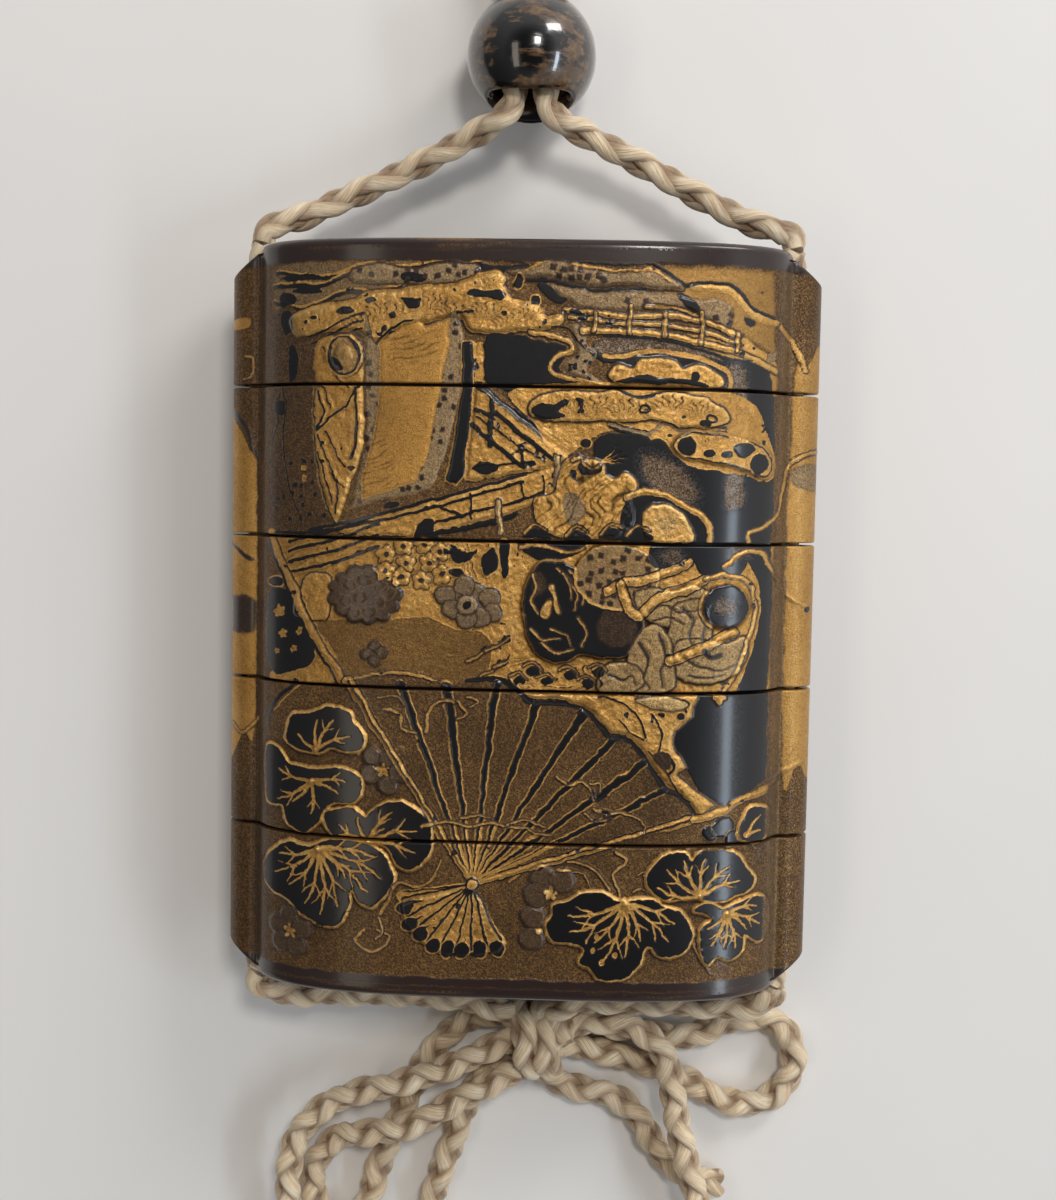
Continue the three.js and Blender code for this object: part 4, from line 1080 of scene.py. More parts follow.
def drawGarden():  # left of the second case: beam, planks, window, blossoms
    put(area([(-25, 8.2), (-0.5, 8.2), (-0.5, -6.5), (-25, -6.5)], curved=False), "gold")
    put(area([(-25.2, 8.2), (-24, 8.2), (-22.4, 4), (-22, 1), (-25.2, 3)], curved=False), "nashiji", 0.8, 0.2)
    planks = area([(-24.4, 8.2), (-13.4, 8.2), (-14.8, 6.2), (-18, 4.8), (-22.6, 4)], curved=False)
    put(planks, "gold")
    for offset in (0, 1.1, 2.2, 3.1):
        put(line([(-22.8, 4.6 + offset), (-18, 5.8 + offset), (-13.6, 7.4 + offset)], 0.34), "black", 0.85)
    hatch(planks, 0.3, 0.5, 0.5)
    hill = area([(-22, 0.4), (-21.6, 3), (-20.2, 4.6), (-18.4, 4.2), (-18.3, 1.6), (-19, 0)])
    outlined(hill, "gold", 0.15, 0.16, 0.05, "plain")
    put(area([(-25.3, 2.3), (-22.8, 2.8), (-22.3, 1.5), (-21, -0.5), (-20, -3), (-20, -4), (-22, -5.2), (-25.2, -5)]), "black")
    for x, y, size in ((-23.9, 0.7, 0.8), (-22.2, -3, 0.45), (-23.4, -1.6, 0.6), (-21.6, -1.2, 0.4), (-24.2, -3.4, 0.35)):
        put(oval(x, y, size, size * 0.8, 0.6, 5, 0.4), "gold")
    outlined(oval(-24.4, 3.6, 0.9, 0.45), "black", 0.15)
    put(area([(-19.6, -0.2), (-13, 0.2), (-9, 0.6), (-6, -0.4), (-2.8, -1), (-2.6, -4.4), (-6.4, -5.8), (-12, -4.8), (-16.6, -5.8),
              (-18, -3)]), "nashiji")
    put(area([(-18, -6.5), (-16.4, -5.8), (-14, -5.2), (-11, -4.9), (-8, -5.6), (-6.4, -6.5)]), "nashiji")
    put(area([(-19.6, -0.2), (-13, 0.2), (-9, 0.6), (-6, -0.4), (-2.8, -1), (-2.6, -4.4), (-6.4, -5.8), (-12, -4.8),
              (-16.6, -5.8), (-18, -3)]), "gold", 0.42)
    bank([(-17.2, -6.4), (-16.2, -5.9), (-14, -5.2), (-11, -4.9), (-8, -5.6), (-6.6, -6.2)], 0.32)
    beam = [(-25, 8.4), (-22.6, 3.6), (-20, -1.5), (-16.4, -6.6)]
    put(line([(x - 0.65, y) for x, y in beam], 0.4), "black")
    stroke = line(beam, 0.9)
    put(stroke, "gold")
    addLift(stroke, 0.1, 0.3)
    put(line([(x + 0.5, y) for x, y in beam], 0.16), "plain")
    bush = oval(-14.8, 2.7, 3.7, 2.9, 0, 13, 0.12)
    outlined(bush, "mist", 0.14, 0.3, 0.04, "plain")
    put(bush, "plain", 0.72)
    for x, y in ((-16.4, 3.6), (-14.9, 4.1), (-13.2, 3.5), (-16.8, 2), (-15.2, 2.4), (-13.4, 2), (-12.5, 2.9), (-14.4, 0.9), (-16, 0.8)):
        addLift(oval(x, y, 0.8, 0.7), 0.09, 0.4)
        put(oval(x, y, 0.8, 0.7).ring(-0.12, 0), "mist", 0.35)
    for x, y in ((-12.8, 6.6), (-11, 7.5), (-9, 7.6), (-10.8, 5.8), (-8.5, 6), (-9.2, 4.2), (-11.3, 4.5), (-7.4, 7), (-7.2, 4.9), (-12.8, 5)):
        flower = oval(x, y, 1.0, 0.95, 0.3, 5, 0.3)
        outlined(flower, "gold", 0.1, 0.12, 0.02, "plain")
        put(oval(x, y, 0.26, 0.24), "plain")
        for k in range(5):
            angle = 0.3 + k * 2 * math.pi / 5
            addLift(oval(x + 0.5 * math.cos(angle), y + 0.5 * math.sin(angle), 0.32, 0.3), 0.04, 0.2)
    hatch(area([(-14, 8), (-6, 8), (-6, 3.4), (-13, 4)], curved=False), 0.8, 0.8, 0.2)
    ground4 = area([(-6.8, 8), (-0.6, 8), (-0.6, 4.4), (-6, 4.4)], curved=False)
    hatch(ground4, 2.3, 0.9, 0.7, 0, 0.8, "black")
    for shape in (area([(-6.6, 7.8), (-5, 7), (-3.8, 7.4), (-4.6, 6.2), (-6, 6)]), area([(-3.4, 6.4), (-2.2, 7.6), (-1.8, 6), (-2.8, 4.8)]),
                  area([(-1.6, 8), (-0.8, 8), (-0.8, 5), (-1.4, 4.6)]), area([(-6.6, 5.2), (-5.4, 5.4), (-5, 4.8), (-6.2, 4.7)])):
        outlined(shape, "black", 0.16)
    peony = ((-5.8, 2.8), (-3.8, 3.1), (-5, 3.8), (-2.5, 2.6), (-2.3, 1.2), (-6.9, 2.8), (-6.2, 1.4), (-3.4, 0.7), (-4.8, 0.6))
    petalsAt(peony, 1.0, "mist", 0.18, shadeShare=0.3)
    outlined(oval(-4.7, 1.9, 1.0, 0.9), "mist", 0.12, 0.34, 0.04, "plain")
    put(oval(-4.7, 1.9, 0.42, 0.4), "black")
    petalsAt(((-13.8, -2.4), (-13.1, -3.1), (-14.5, -3.2), (-13.8, -3.9)), 0.55, "mist", 0.1)
    for base in ((-2, -4.4), (-3.4, -3), (-1.6, -2), (-0.8, -3.6)):
        put(area([base, (base[0] + 0.5, base[1] + 1), (base[0] + 1.2, base[1] + 0.5)]), "black")
        curl([(base[0] - 1.2, base[1] - 0.6), base, (base[0] + 1.1, base[1] + 0.9)], 0.22)


def drawFigures():  # right of the second case: an ox's head, a patterned robe and hats, water beyond
    put(area([(-0.5, 8.2), (26.5, 8.2), (26.5, -6.5), (-0.5, -6.5)], curved=False), "gold")
    put(area([(21.6, 8.2), (25, 8.2), (25, -6.5), (22, -6.5), (23.2, -3), (24.2, 2), (23.4, 5.4)]), "black")
    put(area([(17, 8.2), (21, 8.2), (22.6, 6.6), (21.4, 4.9), (18.6, 5.2), (17.4, 6.4)]), "black")
    # painted reflection on the black beside the figures, partly a dusting of powder
    put(area([(20.4, 8), (22.3, 6.6), (24, 7.6), (23.4, 8.2)]), "dust", 0.5, 0.4)
    put(area([(0.2, 8.2), (6.6, 8.2), (5, 6.6), (2, 6.4)]), "black", 0.9)
    curl([(0.4, 7.6), (2.4, 7.9), (5, 7.2), (6.6, 7.7)], 0.4)
    ox = area([(0.9, 1), (1, 4), (2.2, 6), (4.4, 6.3), (6.4, 5.2), (7.2, 3), (8.4, 2.4), (11, 2.5), (12.3, 1), (12.3, -1.4), (11, -2.6),
               (8.6, -3), (6.4, -2.6), (4.8, -3.6), (3, -3.2), (1.6, -1.8)])
    outlined(ox, "black", 0.2, 0.5, 0.06)
    put(oval(9.9, 0, 2.2, 2.2), "plain", 0.5, 0.4)
    put(oval(2.2, 4.2, 1, 1.6), "plain", 0.5, 0.4)
    for points, width in (
        ([(1.6, 5), (2, 3.6), (1.6, 2.4), (2.2, 1.2)], 0.3), ([(4, 5.6), (5.2, 4.6), (6, 3.2), (5.8, 1.6)], 0.22),
        ([(4.6, 5.2), (5.4, 4), (5.4, 2.6)], 0.18), ([(5.2, 5.4), (6.4, 3.8), (6.6, 2.2)], 0.18),
        ([(3.4, 3.8), (3.8, 2.8), (4.2, 1.4)], 0.55), ([(2.6, -1.6), (4, -2.6), (5.8, -2.2)], 0.26),
        ([(1.6, -0.4), (2.8, -1.4), (4.4, -1.2)], 0.24), ([(6.2, 0.8), (7, -0.6), (6.6, -2)], 0.24), ([(3.6, -0.2), (5, -0.8), (5.6, -1.8)], 0.2),
    ):
        curl(points, width, "gold", 0.1)
    outlined(oval(3.1, 1.6, 1.0, 0.55, 1.2), "gold", 0.1, 0.56, 0.05, "plain")
    robe = oval(9.9, 4.9, 4, 3.1, -0.1)
    outlined(robe, "gold", 0.22, 0.5, 0.06)
    put(robe, "mist", 0.55)
    squares(robe, 1.12, 0.52, "plain", 0.95, 0.3)
    put(area([(13.4, 8.1), (13, 6.6), (14.4, 5.8), (16.4, 6.4), (17.4, 8.1)]), "black")
    # painted reflection on the black by the robe, partly a dusting of powder
    put(oval(15.2, 7, 1.4, 1), "dust", 0.5, 0.4)
    robes = (
        ([(11.6, 3.2), (13.2, 3.9), (15.4, 3.6), (17.2, 4.2), (18.8, 3.4), (18.9, 1.4), (17.2, -0.2), (14.8, 0.1), (12.6, 0.9)], 0.5),
        ([(15.6, 2.2), (17.6, 2.9), (19, 1.6), (19.2, -1), (18.4, -3.2), (16.2, -3.4), (15, -1.4), (15.2, 0.4)], 0.44),
        ([(15.8, -1.4), (18.4, -1.0), (20.6, -1.6), (22.6, -0.8), (22.7, -3.2), (21, -5), (18, -5.4), (15.8, -4.4)], 0.5),
        ([(11.9, -0.9), (13.4, 0.3), (14.9, -0.7), (15.5, -3), (15.7, -5.6), (13.4, -6.6), (11.2, -6.2), (11, -3.4)], 0.46),
        ([(8.6, -4.1), (10.4, -3.4), (12.2, -4), (12.6, -5.6), (10.6, -6.6), (8.4, -6.2)], 0.4),
    )
    for outline, height in robes:
        cloth = area(outline)
        outlined(cloth, "silver", 0.16, height, 0.05, "plain")
        put(cloth, "mist", 0.45)
        hatch(cloth, 1.2, 0.5, 0.3, 0.03, 0.4)
    for points, width in (
        ([(12.2, -1.4), (13.1, -3), (12.7, -4.8), (13.2, -6)], 0.34), ([(14, -0.6), (14.7, -2.6), (14.3, -4.2), (14.6, -5.8)], 0.28),
        ([(16.4, 2), (17.3, 0.8), (17, -0.8), (17.6, -2.6)], 0.32), ([(18, 1.9), (18.5, 0.2), (18.1, -1.6)], 0.22),
        ([(16.2, -2.6), (18, -3.7), (20, -4.2), (21.6, -3.6)], 0.3), ([(17, -4.6), (19, -4.9), (20.6, -4.6)], 0.22),
        ([(12.8, 1.5), (14.4, 2.2), (16.2, 1.6), (17.8, 1.9)], 0.26), ([(13.4, 0.7), (15, 1), (16.4, 0.5)], 0.2),
        ([(9.4, -4.6), (10.6, -5.1), (11.4, -4.8), (12, -5.6)], 0.26),
    ):
        fold = line(points, width, 0.1)
        put(fold, "plain", 0.9)
        addLift(fold.grown(0.2), -0.16, 0.3)
        addLift(line([(x + 0.4, y + 0.1) for x, y in points], 0.4, 0.2), 0.12, 0.2)
    for ribbon in ([(9, 3.6), (10.5, 4.4), (12, 4.5), (13.5, 5.1), (15.2, 5.6), (16.8, 6.4)],
                   [(10.2, 4.2), (10.7, 2.8), (11.1, 1.8), (12, 1.2), (13, 2.1), (14.5, 3.2), (17, 4), (18.4, 4.8)]):
        stroke = line(ribbon, 0.9)
        put(stroke.grown(0.14), "black")
        put(stroke, "gold")
        addLift(stroke, 0.16, 0.35)
        hatch(stroke, 0.9, 0.3, 0.5, 0.0, 0.1)
    for points in ([(18.6, 4.9), (20.6, 5.2), (22.6, 4.6), (23.6, 2.6), (23.4, 0.4), (22.6, -2), (21.8, -4.4), (20.6, -6.3)],
                   [(20.4, 6), (22, 7.4), (24.2, 7.3), (25.4, 5.2), (27, 3), (29, 2)]):
        stroke = line(points, 0.42)
        put(stroke.grown(0.1), "plain")
        put(stroke, "gold")
        addLift(stroke, 0.14, 0.2)
    hat = oval(20.5, 2.1, 2.2, 1.95)
    put(hat.grown(0.45), "gold")
    put(hat.grown(0.16), "plain")
    put(hat, "black")
    # painted reflection on the black hat, partly a dusting of powder
    put(oval(20.5, 2.1, 1.3, 1.1), "dust", 0.55, 0.4)
    lift(hat.grown(0.4), 0.48, 0.5)
    sleeve = line([(15.2, -3.1), (18.2, -1.9), (21.4, -0.4)], 1.0)
    put(sleeve.grown(0.14), "black")
    put(sleeve, "gold")
    addLift(sleeve, 0.18, 0.4)
    hatch(sleeve, 0.4, 0.34, 0.4)
    curl([(18.6, -2.2), (19.2, -2.8), (20.2, -2.6)], 0.4, "black")
    earth = area([(0, -3.2), (4, -4.2), (8.6, -3.6), (8.8, -6.5), (0, -6.5)])
    hatch(earth, 0.5, 0.9, 0.75, 0, 1.1, "black")
    for x, y in ((1.2, -4.4), (2.6, -5.4), (4.8, -4.8), (6.6, -5.6), (7.6, -4.4), (-0.2, -5.4)):
        put(area([(x, y), (x + 0.7, y + 0.5), (x + 1.3, y - 0.2), (x + 0.5, y - 0.5)]), "black")
        curl([(x - 0.4, y + 0.4), (x + 0.6, y + 0.8), (x + 1.5, y + 0.1)], 0.18)


def drawFan():  # the open fan over the third case, its pivot and tail on the fourth
    pivot = (-3.8, -25.7)
    leafEdge = [(-16.6, -6.3), (-14, -5.5), (-10, -5.2), (-6.6, -5.9), (-4.5, -5.5), (-1.5, -5.4), (0.3, -6.4), (1.8, -7.6), (5, -7.6), (7, -8.3),
                (8.3, -9.5), (9.4, -10.8), (11, -11), (12.3, -12), (13.3, -13.2), (14.2, -14.8), (15.2, -16), (16.5, -16.5), (18.4, -18.8)]
    paper = area([*leafEdge, (8, -21.3), pivot, (-8.6, -18.5), (-12.2, -12.5)], curved=False)
    put(paper, "nashiji")
    lift(paper, 0.05)
    put(paper, "plain", 0.12)
    edgeStroke = line(leafEdge[4:], 0.55)
    put(line([(x + 0.25, y + 0.5) for x, y in leafEdge[6:]], 0.6), "gold")
    put(edgeStroke, "black")
    ribs = (
        ((-11.2, -6.0), 0.74), ((-6.6, -6.1), 0.86), ((-1.8, -5.9), 0.76), ((2.3, -7.6), 0.74), ((6.8, -8.6), 0.76), ((9.9, -11.0), 0.72),
        ((13.2, -13.2), 0.7), ((15.0, -15.9), 0.6),
    )
    for tip, width in ribs:
        dx, dy = tip[0] - pivot[0], tip[1] - pivot[1]
        foot = (pivot[0] + 0.05 * dx, pivot[1] + 0.05 * dy)
        stroke = line([tip, foot], width, 0.24, curved=False)
        put(stroke.grown(0.16), "gold", 0.85)
        put(stroke, "black")
        addLift(stroke.grown(0.1), 0.05, 0.25)
        put(oval(tip[0], tip[1], 0.55, 0.4), "black")
    for tip in ((-16.4, -6.0), (17.6, -19.0)):
        stroke = line([tip, pivot], 0.95, 0.5, curved=False)
        put(stroke.grown(0.14), "black")
        put(stroke, "gold")
        put(line([tip, pivot], 0.22, 0.1, curved=False), "plain")
        addLift(stroke, 0.1, 0.3)
    slivers = ((-7.4, -20.6), (-5.6, -20.2), (-4.4, -19.6), (-3, -20), (-1.4, -19.6), (0, -20.2), (2.4, -20.6), (4.6, -21.4), (5.4, -22.6))
    for x, y in slivers:
        put(line([(x, y), pivot], 0.3, 0.14, curved=False), "gold", 0.9)
    clouds = (
        ([(-8.8, -20.2), (-6.6, -19.6), (-4.4, -20), (-2, -19.6), (1.4, -20.2), (4, -20.6)], 0.3), ([(-5, -19.2), (-3.4, -18.8), (-2, -19.2)], 0.2),
        ([(-0.6, -19.6), (1.4, -19.2), (3.4, -19.8)], 0.24), ([(8, -18), (9.6, -18.4), (10.6, -18.2), (12, -18.6), (13, -19.3), (13, -20.3)], 0.26),
        ([(7.2, -18.4), (8.2, -19), (9.6, -18.9)], 0.2), ([(4.4, -14.8), (5.6, -15.6), (6.8, -15.2), (7.8, -16.2), (8, -17.2)], 0.26),
        ([(7.6, -15.4), (8.6, -15.4), (8.6, -16.2)], 0.2), ([(-12.8, -8.6), (-11.2, -9), (-11, -10.4), (-9.6, -10.8)], 0.3),
        ([(-13.4, -7.4), (-11.6, -7.2), (-10.8, -8.2)], 0.2), ([(-8.6, -10.6), (-8.4, -8.8), (-7.2, -7.6), (-5.8, -7.8)], 0.34),
        ([(-5.4, -7.6), (-4.6, -8.8), (-5.6, -9.3)], 0.3), ([(-4.6, -7.2), (-3.4, -7.6), (-4.4, -8.2)], 0.2),
    )
    for points, width in clouds:
        curl(points, width)
    blades = ((-10.5, -28.2), (-9.9, -29.9), (-8.9, -30.9), (-7.6, -32.0), (-6.1, -32.3), (-4.7, -32.4), (-2.9, -32.2), (-1.2, -32.1))
    tail = area([pivot, (-11.2, -27.8), (-10.6, -30), (-9.4, -31.4), (-7.8, -32.6), (-6, -33), (-4.6, -33.1), (-2.8, -32.9), (-0.9, -32.7),
                 (-0.3, -31.6)], curved=False)
    put(tail, "gold")
    lift(tail, 0.22)
    hatch(tail, 1.2, 0.9, 0.25)
    edges = [(-11.4, -27.2), *blades, (0, -31.5)]
    for (ax, ay), (bx, by) in zip(edges, edges[1:]):
        middle = ((ax + bx) / 2, (ay + by) / 2)
        put(line([pivot, middle], 0.16, 0.26, curved=False), "black")
        addLift(line([pivot, middle], 0.16, 0.26, curved=False), -0.06, 0.1)
    for x, y in blades:
        turn = math.atan2(y - pivot[1], x - pivot[0])
        outlined(oval(x, y, 0.85, 0.68, turn), "black", 0.12, 0.0, 0.05)
        dx, dy = x - pivot[0], y - pivot[1]
        share = chance.uniform(0.72, 0.86)
        put(area([(x, y + 0.5), (pivot[0] + dx * share + 0.3, pivot[1] + dy * share), (x - 0.5, y)]), "black", 0.9)
    put(line([(-10.8, -27.2), pivot], 1.0, 0.5, curved=False), "gold")
    put(line([(-10.9, -27.4), pivot], 0.2, 0.12, curved=False), "black")
    put(line([(-10.6, -26.8), pivot], 0.14, curved=False), "black")
    outlined(oval(*pivot, 0.55, 0.5), "gold", 0.16, 0.3, 0.06, "black")


def drawShore():  # between the fan and the water, and the water itself
    strip = area([(0.4, -6.4), (9, -6.4), (17.9, -6.4), (17.7, -8.8), (16, -10.2), (15.6, -11.5), (17.2, -13.8), (16.2, -14.6), (18.6, -16.4),
                  (20.2, -17.6), (18.4, -18.9), (16.5, -16.4), (15.2, -15.9), (14.2, -14.6), (13.3, -13), (12.3, -11.8), (11, -10.8), (9.4, -10.6),
                  (8.3, -9.3), (7, -8.1), (5, -7.4), (1.8, -7.3)], curved=False)
    put(area([(16, -6.4), (25.3, -6.4), (25.3, -15.4), (24, -16.2), (21, -17.6), (18.6, -16.4), (15.6, -11.5)], curved=False), "black")
    put(strip, "gold")
    put(strip.ring(-0.12, 0.06), "plain")
    lift(strip, 0.24, 0.5)
    hatch(strip, -0.8, 0.6, 0.45, 0.03, 0.9)
    for points, width in (
        ([(8.4, -6.8), (11, -7.6), (12.4, -9.2), (13, -10.8)], 0.24), ([(10.4, -9), (11.6, -10.4), (12.8, -11)], 0.2),
        ([(12, -7.2), (14, -7.6), (16.4, -7.2), (17, -8.2)], 0.3), ([(13.6, -8.4), (14.6, -10.4), (14.2, -12.6)], 0.24),
        ([(15.2, -12.4), (16, -13.6), (15.2, -14.4)], 0.3), ([(13.4, -12.2), (14.8, -13.6), (15.6, -15.4), (17.4, -17.2)], 0.2),
    ):
        put(line(points, width), "black", 0.85)
        addLift(line([(x + 0.3, y + 0.2) for x, y in points], 0.24), 0.08)
    put(oval(14.8, -13, 1, 0.7, -0.7), "plain", 0.8)
    put(oval(16.4, -8.7, 0.4, 0.35), "black")
    put(oval(14.5, -8.5, 0.35, 0.25), "black")
    outlined(area([(12, -7), (14.8, -6.7), (17, -7.4), (16.6, -8), (14, -7.9)]), "silver", 0.12, 0.4, 0.05, "plain")
    # faint upright strips of painted reflection on the black water, partly a dusting of powder
    put(area([(19.7, -6.4), (20.6, -6.4), (20.6, -16.2), (19.8, -16)], curved=False), "dust", 0.12, 0.4)
    put(area([(21.2, -6.4), (22.6, -6.4), (22.6, -16), (21.2, -16.2)], curved=False), "dust", 0.16, 0.5)
    outlined(oval(20.2, -6.9, 0.7, 0.6, 0, 4, 0.3), "gold", 0.1, 0.2, 0.04, "plain")
    put(area([(18, -19.4), (20.5, -18.8), (22.5, -17.6), (25, -16.8), (25.3, -21.6), (10, -21.6)]), "nashiji")
    bank([(18, -18.9), (20.5, -18.3), (22.5, -17.2), (25, -16.5), (27, -15), (28.8, -14)], 0.75)
    for x, y, size in ((19.6, -20.4, 0.8), (20.9, -19.8, 1.1), (21.8, -21, 0.8)):
        outlined(oval(x, y, size, size * 0.95), "black", 0.12, 0.14, 0.03, "mist")
    leafOn([(22.6, -20.8), (22.9, -19), (23.8, -18.1), (25.2, -18.2), (25.6, -19.4), (25.2, -21.2), (23.8, -21.4)], (23.4, -20.6),
           ((24.6, -18.9), (24.9, -20.4)))


def drawLeaves():
    put(area([(-25.3, -6.6), (-16.8, -6.6), (-4, -25.8), (-0.5, -33), (18, -19), (25.3, -19), (25.3, -35.2), (-25.3, -35.2)], curved=False), "nashiji")
    put(line([(-21.8, -6.3), (-23.6, -7.8), (-24.9, -9.2), (-25.3, -11)], 0.4), "black")
    put(line([(-21.4, -6.5), (-23.2, -8.1), (-24.6, -9.6)], 0.16), "gold")
    petalsAt(((-13.9, -13.4), (-12.3, -13.4), (-14.2, -15.1), (-12.4, -16.1), (-11.3, -14.9)), 0.98, "mist", 0.2, (-12.8, -14.6))
    petalsAt(((-11.3, -12.7),), 0.75, "mist", 0.14)
    leafOn([(-22.8, -11), (-22.2, -9.6), (-20.4, -9.4), (-18.8, -8.6), (-16.8, -8.9), (-15.8, -10), (-14.9, -11), (-15, -12.6), (-16.4, -12.9),
            (-18, -12.6), (-19.4, -13.2), (-21.6, -13), (-22.9, -12.2)], (-19.8, -12.9),
           ((-21.6, -11.6), (-19.6, -9.9), (-17.9, -9.9), (-16.2, -11.4)))
    leafOn([(-25.2, -13.2), (-23.9, -13.2), (-22.6, -14.6), (-19.9, -14.9), (-17.4, -14.7), (-15.4, -15.3), (-15, -16.9), (-16, -18), (-18, -18.2),
            (-19.2, -20), (-21, -21.4), (-22.8, -20.6), (-23.2, -18.9), (-24.9, -18.9), (-25.3, -16.6)], (-20, -16.1),
           ((-24, -18.3), (-22.2, -18.4), (-20.2, -19.4), (-17.4, -17.2), (-16.6, -16), (-23.8, -15.2)))
    leafOn([(-18.6, -20.6), (-18.6, -19.2), (-17.2, -18.8), (-15.8, -18.6), (-14.6, -19.4), (-14, -18.9), (-12.5, -17.8), (-10.5, -18), (-8.5, -19.3),
            (-7.8, -21.2), (-8.2, -23), (-9.8, -24.5), (-11.2, -24), (-12.2, -22.4), (-14, -21.9), (-17, -21.9)], (-14.3, -21.8),
           ((-17.2, -20.2), (-15.3, -19.4), (-11.8, -18.8), (-9.3, -20.6), (-9.4, -22.8), (-12.6, -20.4)))
    leafOn([(-20.5, -22.9), (-22.5, -22.5), (-24.5, -23.7), (-25.4, -25.2), (-25, -27.5), (-23, -28.2), (-21, -29.7), (-18.5, -30.7), (-16.9, -30),
            (-16.2, -28.3), (-15.8, -26.8), (-14.6, -28.2), (-13.5, -28.2), (-11.8, -26.2), (-11.7, -24.6), (-13, -22.8), (-15, -22), (-18, -21.9)],
           (-19.3, -22.9),
           ((-23.6, -23.8), (-24.2, -25.8), (-22.4, -26.9), (-20.6, -28.6), (-19, -29.6), (-17.3, -28.6), (-16.4, -25.6), (-14.2, -27),
            (-12.8, -25.4), (-13.6, -23.3), (-16, -22.8)))
    petalsAt(((-22.4, -30.2), (-23.8, -31.2), (-23.3, -32.9), (-21.6, -33), (-21, -31.3)), 1.1, "mist", 0.14, (-22.4, -31.7))
    petalsAt(((3.2, -24.9), (5.1, -25.1), (2.5, -26.6), (2.3, -28.9), (2.2, -31)), 1.25, "mist", 0.24, (4, -26.5))
    put(oval(2.9, -30.2, 0.3, 0.26), "gold")
    for points, width in (
        ([(0, -25.3), (2, -23.9), (4, -23.5), (6.5, -23.3), (8.5, -24.2), (9.8, -26)], 0.3), ([(4.5, -24), (7, -24.4), (8, -25.8)], 0.22),
        ([(10.5, -22.3), (11.4, -23), (10.2, -24.5), (11, -26.9)], 0.34), ([(18, -31), (18.8, -32.8), (20, -34.5)], 0.24),
        ([(-12.8, -29), (-12, -27.5), (-11.2, -26), (-9, -26.2), (-7.5, -25), (-6.8, -23.4)], 0.32),
        ([(-14.5, -30.8), (-15.4, -31.9), (-14, -32.9), (-12.6, -32.5), (-11.9, -31.4), (-13.2, -30.6)], 0.34),
        ([(-13, -29.4), (-12.6, -30.8), (-13.4, -31.6)], 0.24), ([(12.6, -24.6), (13.4, -24), (13.3, -25.2)], 0.14),
        ([(12.2, -26.2), (13, -25.8), (13.6, -26.4)], 0.18), ([(24, -21.8), (24.8, -22.8), (24.2, -23.4)], 0.14),
    ):
        curl(points, width)
    leafOn([(13.6, -25.5), (13.8, -23.8), (15.3, -22.5), (17, -22.2), (17.8, -23), (18.5, -22.2), (20.5, -21.9), (22.5, -22.8), (23.2, -24),
            (24.2, -25.2), (23.8, -26.2), (22, -27), (20, -27.2), (18, -26.7), (15, -26.8)], (18.8, -26.7),
           ((14.6, -25.8), (15.4, -23.8), (17.1, -23), (19.2, -22.9), (21.6, -23.6), (22.8, -25.2)))
    leafOn([(10.5, -27), (9, -26.3), (7, -26.4), (5.5, -27.3), (4.3, -27.8), (4.2, -28.8), (3.6, -29.8), (4.2, -31), (5.5, -31.3), (7.3, -31.7),
            (7, -33.2), (8, -33.9), (9.2, -35), (11.5, -34.7), (12.8, -33.4), (13.3, -32), (14, -31.5), (15, -32.6), (17, -32.3), (18, -30.8),
            (17.7, -29.3), (16.8, -28.2), (15.2, -27.6), (14, -26.9), (12, -27)], (11.3, -27.2),
           ((5.8, -28.6), (5.9, -30.3), (8.4, -31.2), (9.2, -33.2), (11.4, -32.6), (13, -31), (15.6, -31), (16.4, -29.2)))
    for x, y in ((8.2, -32), (9.2, -33.2), (10.4, -32.4), (8.6, -30.6)):
        put(oval(x, y, 0.26, 0.32), "gold")
    leafOn([(18.3, -28), (19.5, -27.4), (21, -28), (22.8, -27.5), (24.5, -27.1), (25.6, -28), (25.7, -30.5), (25.1, -31.7), (24, -31.2),
            (23.3, -30.8), (23.2, -32.3), (22, -33.2), (20.5, -32.8), (19.5, -33.5), (18.9, -31.5), (19, -30), (20, -28.8)], (21.4, -28.4),
           ((24.6, -28), (25, -29.9), (23.6, -30.2), (22.4, -32), (21.2, -31.9), (19.9, -31.6), (19.6, -29.9)))


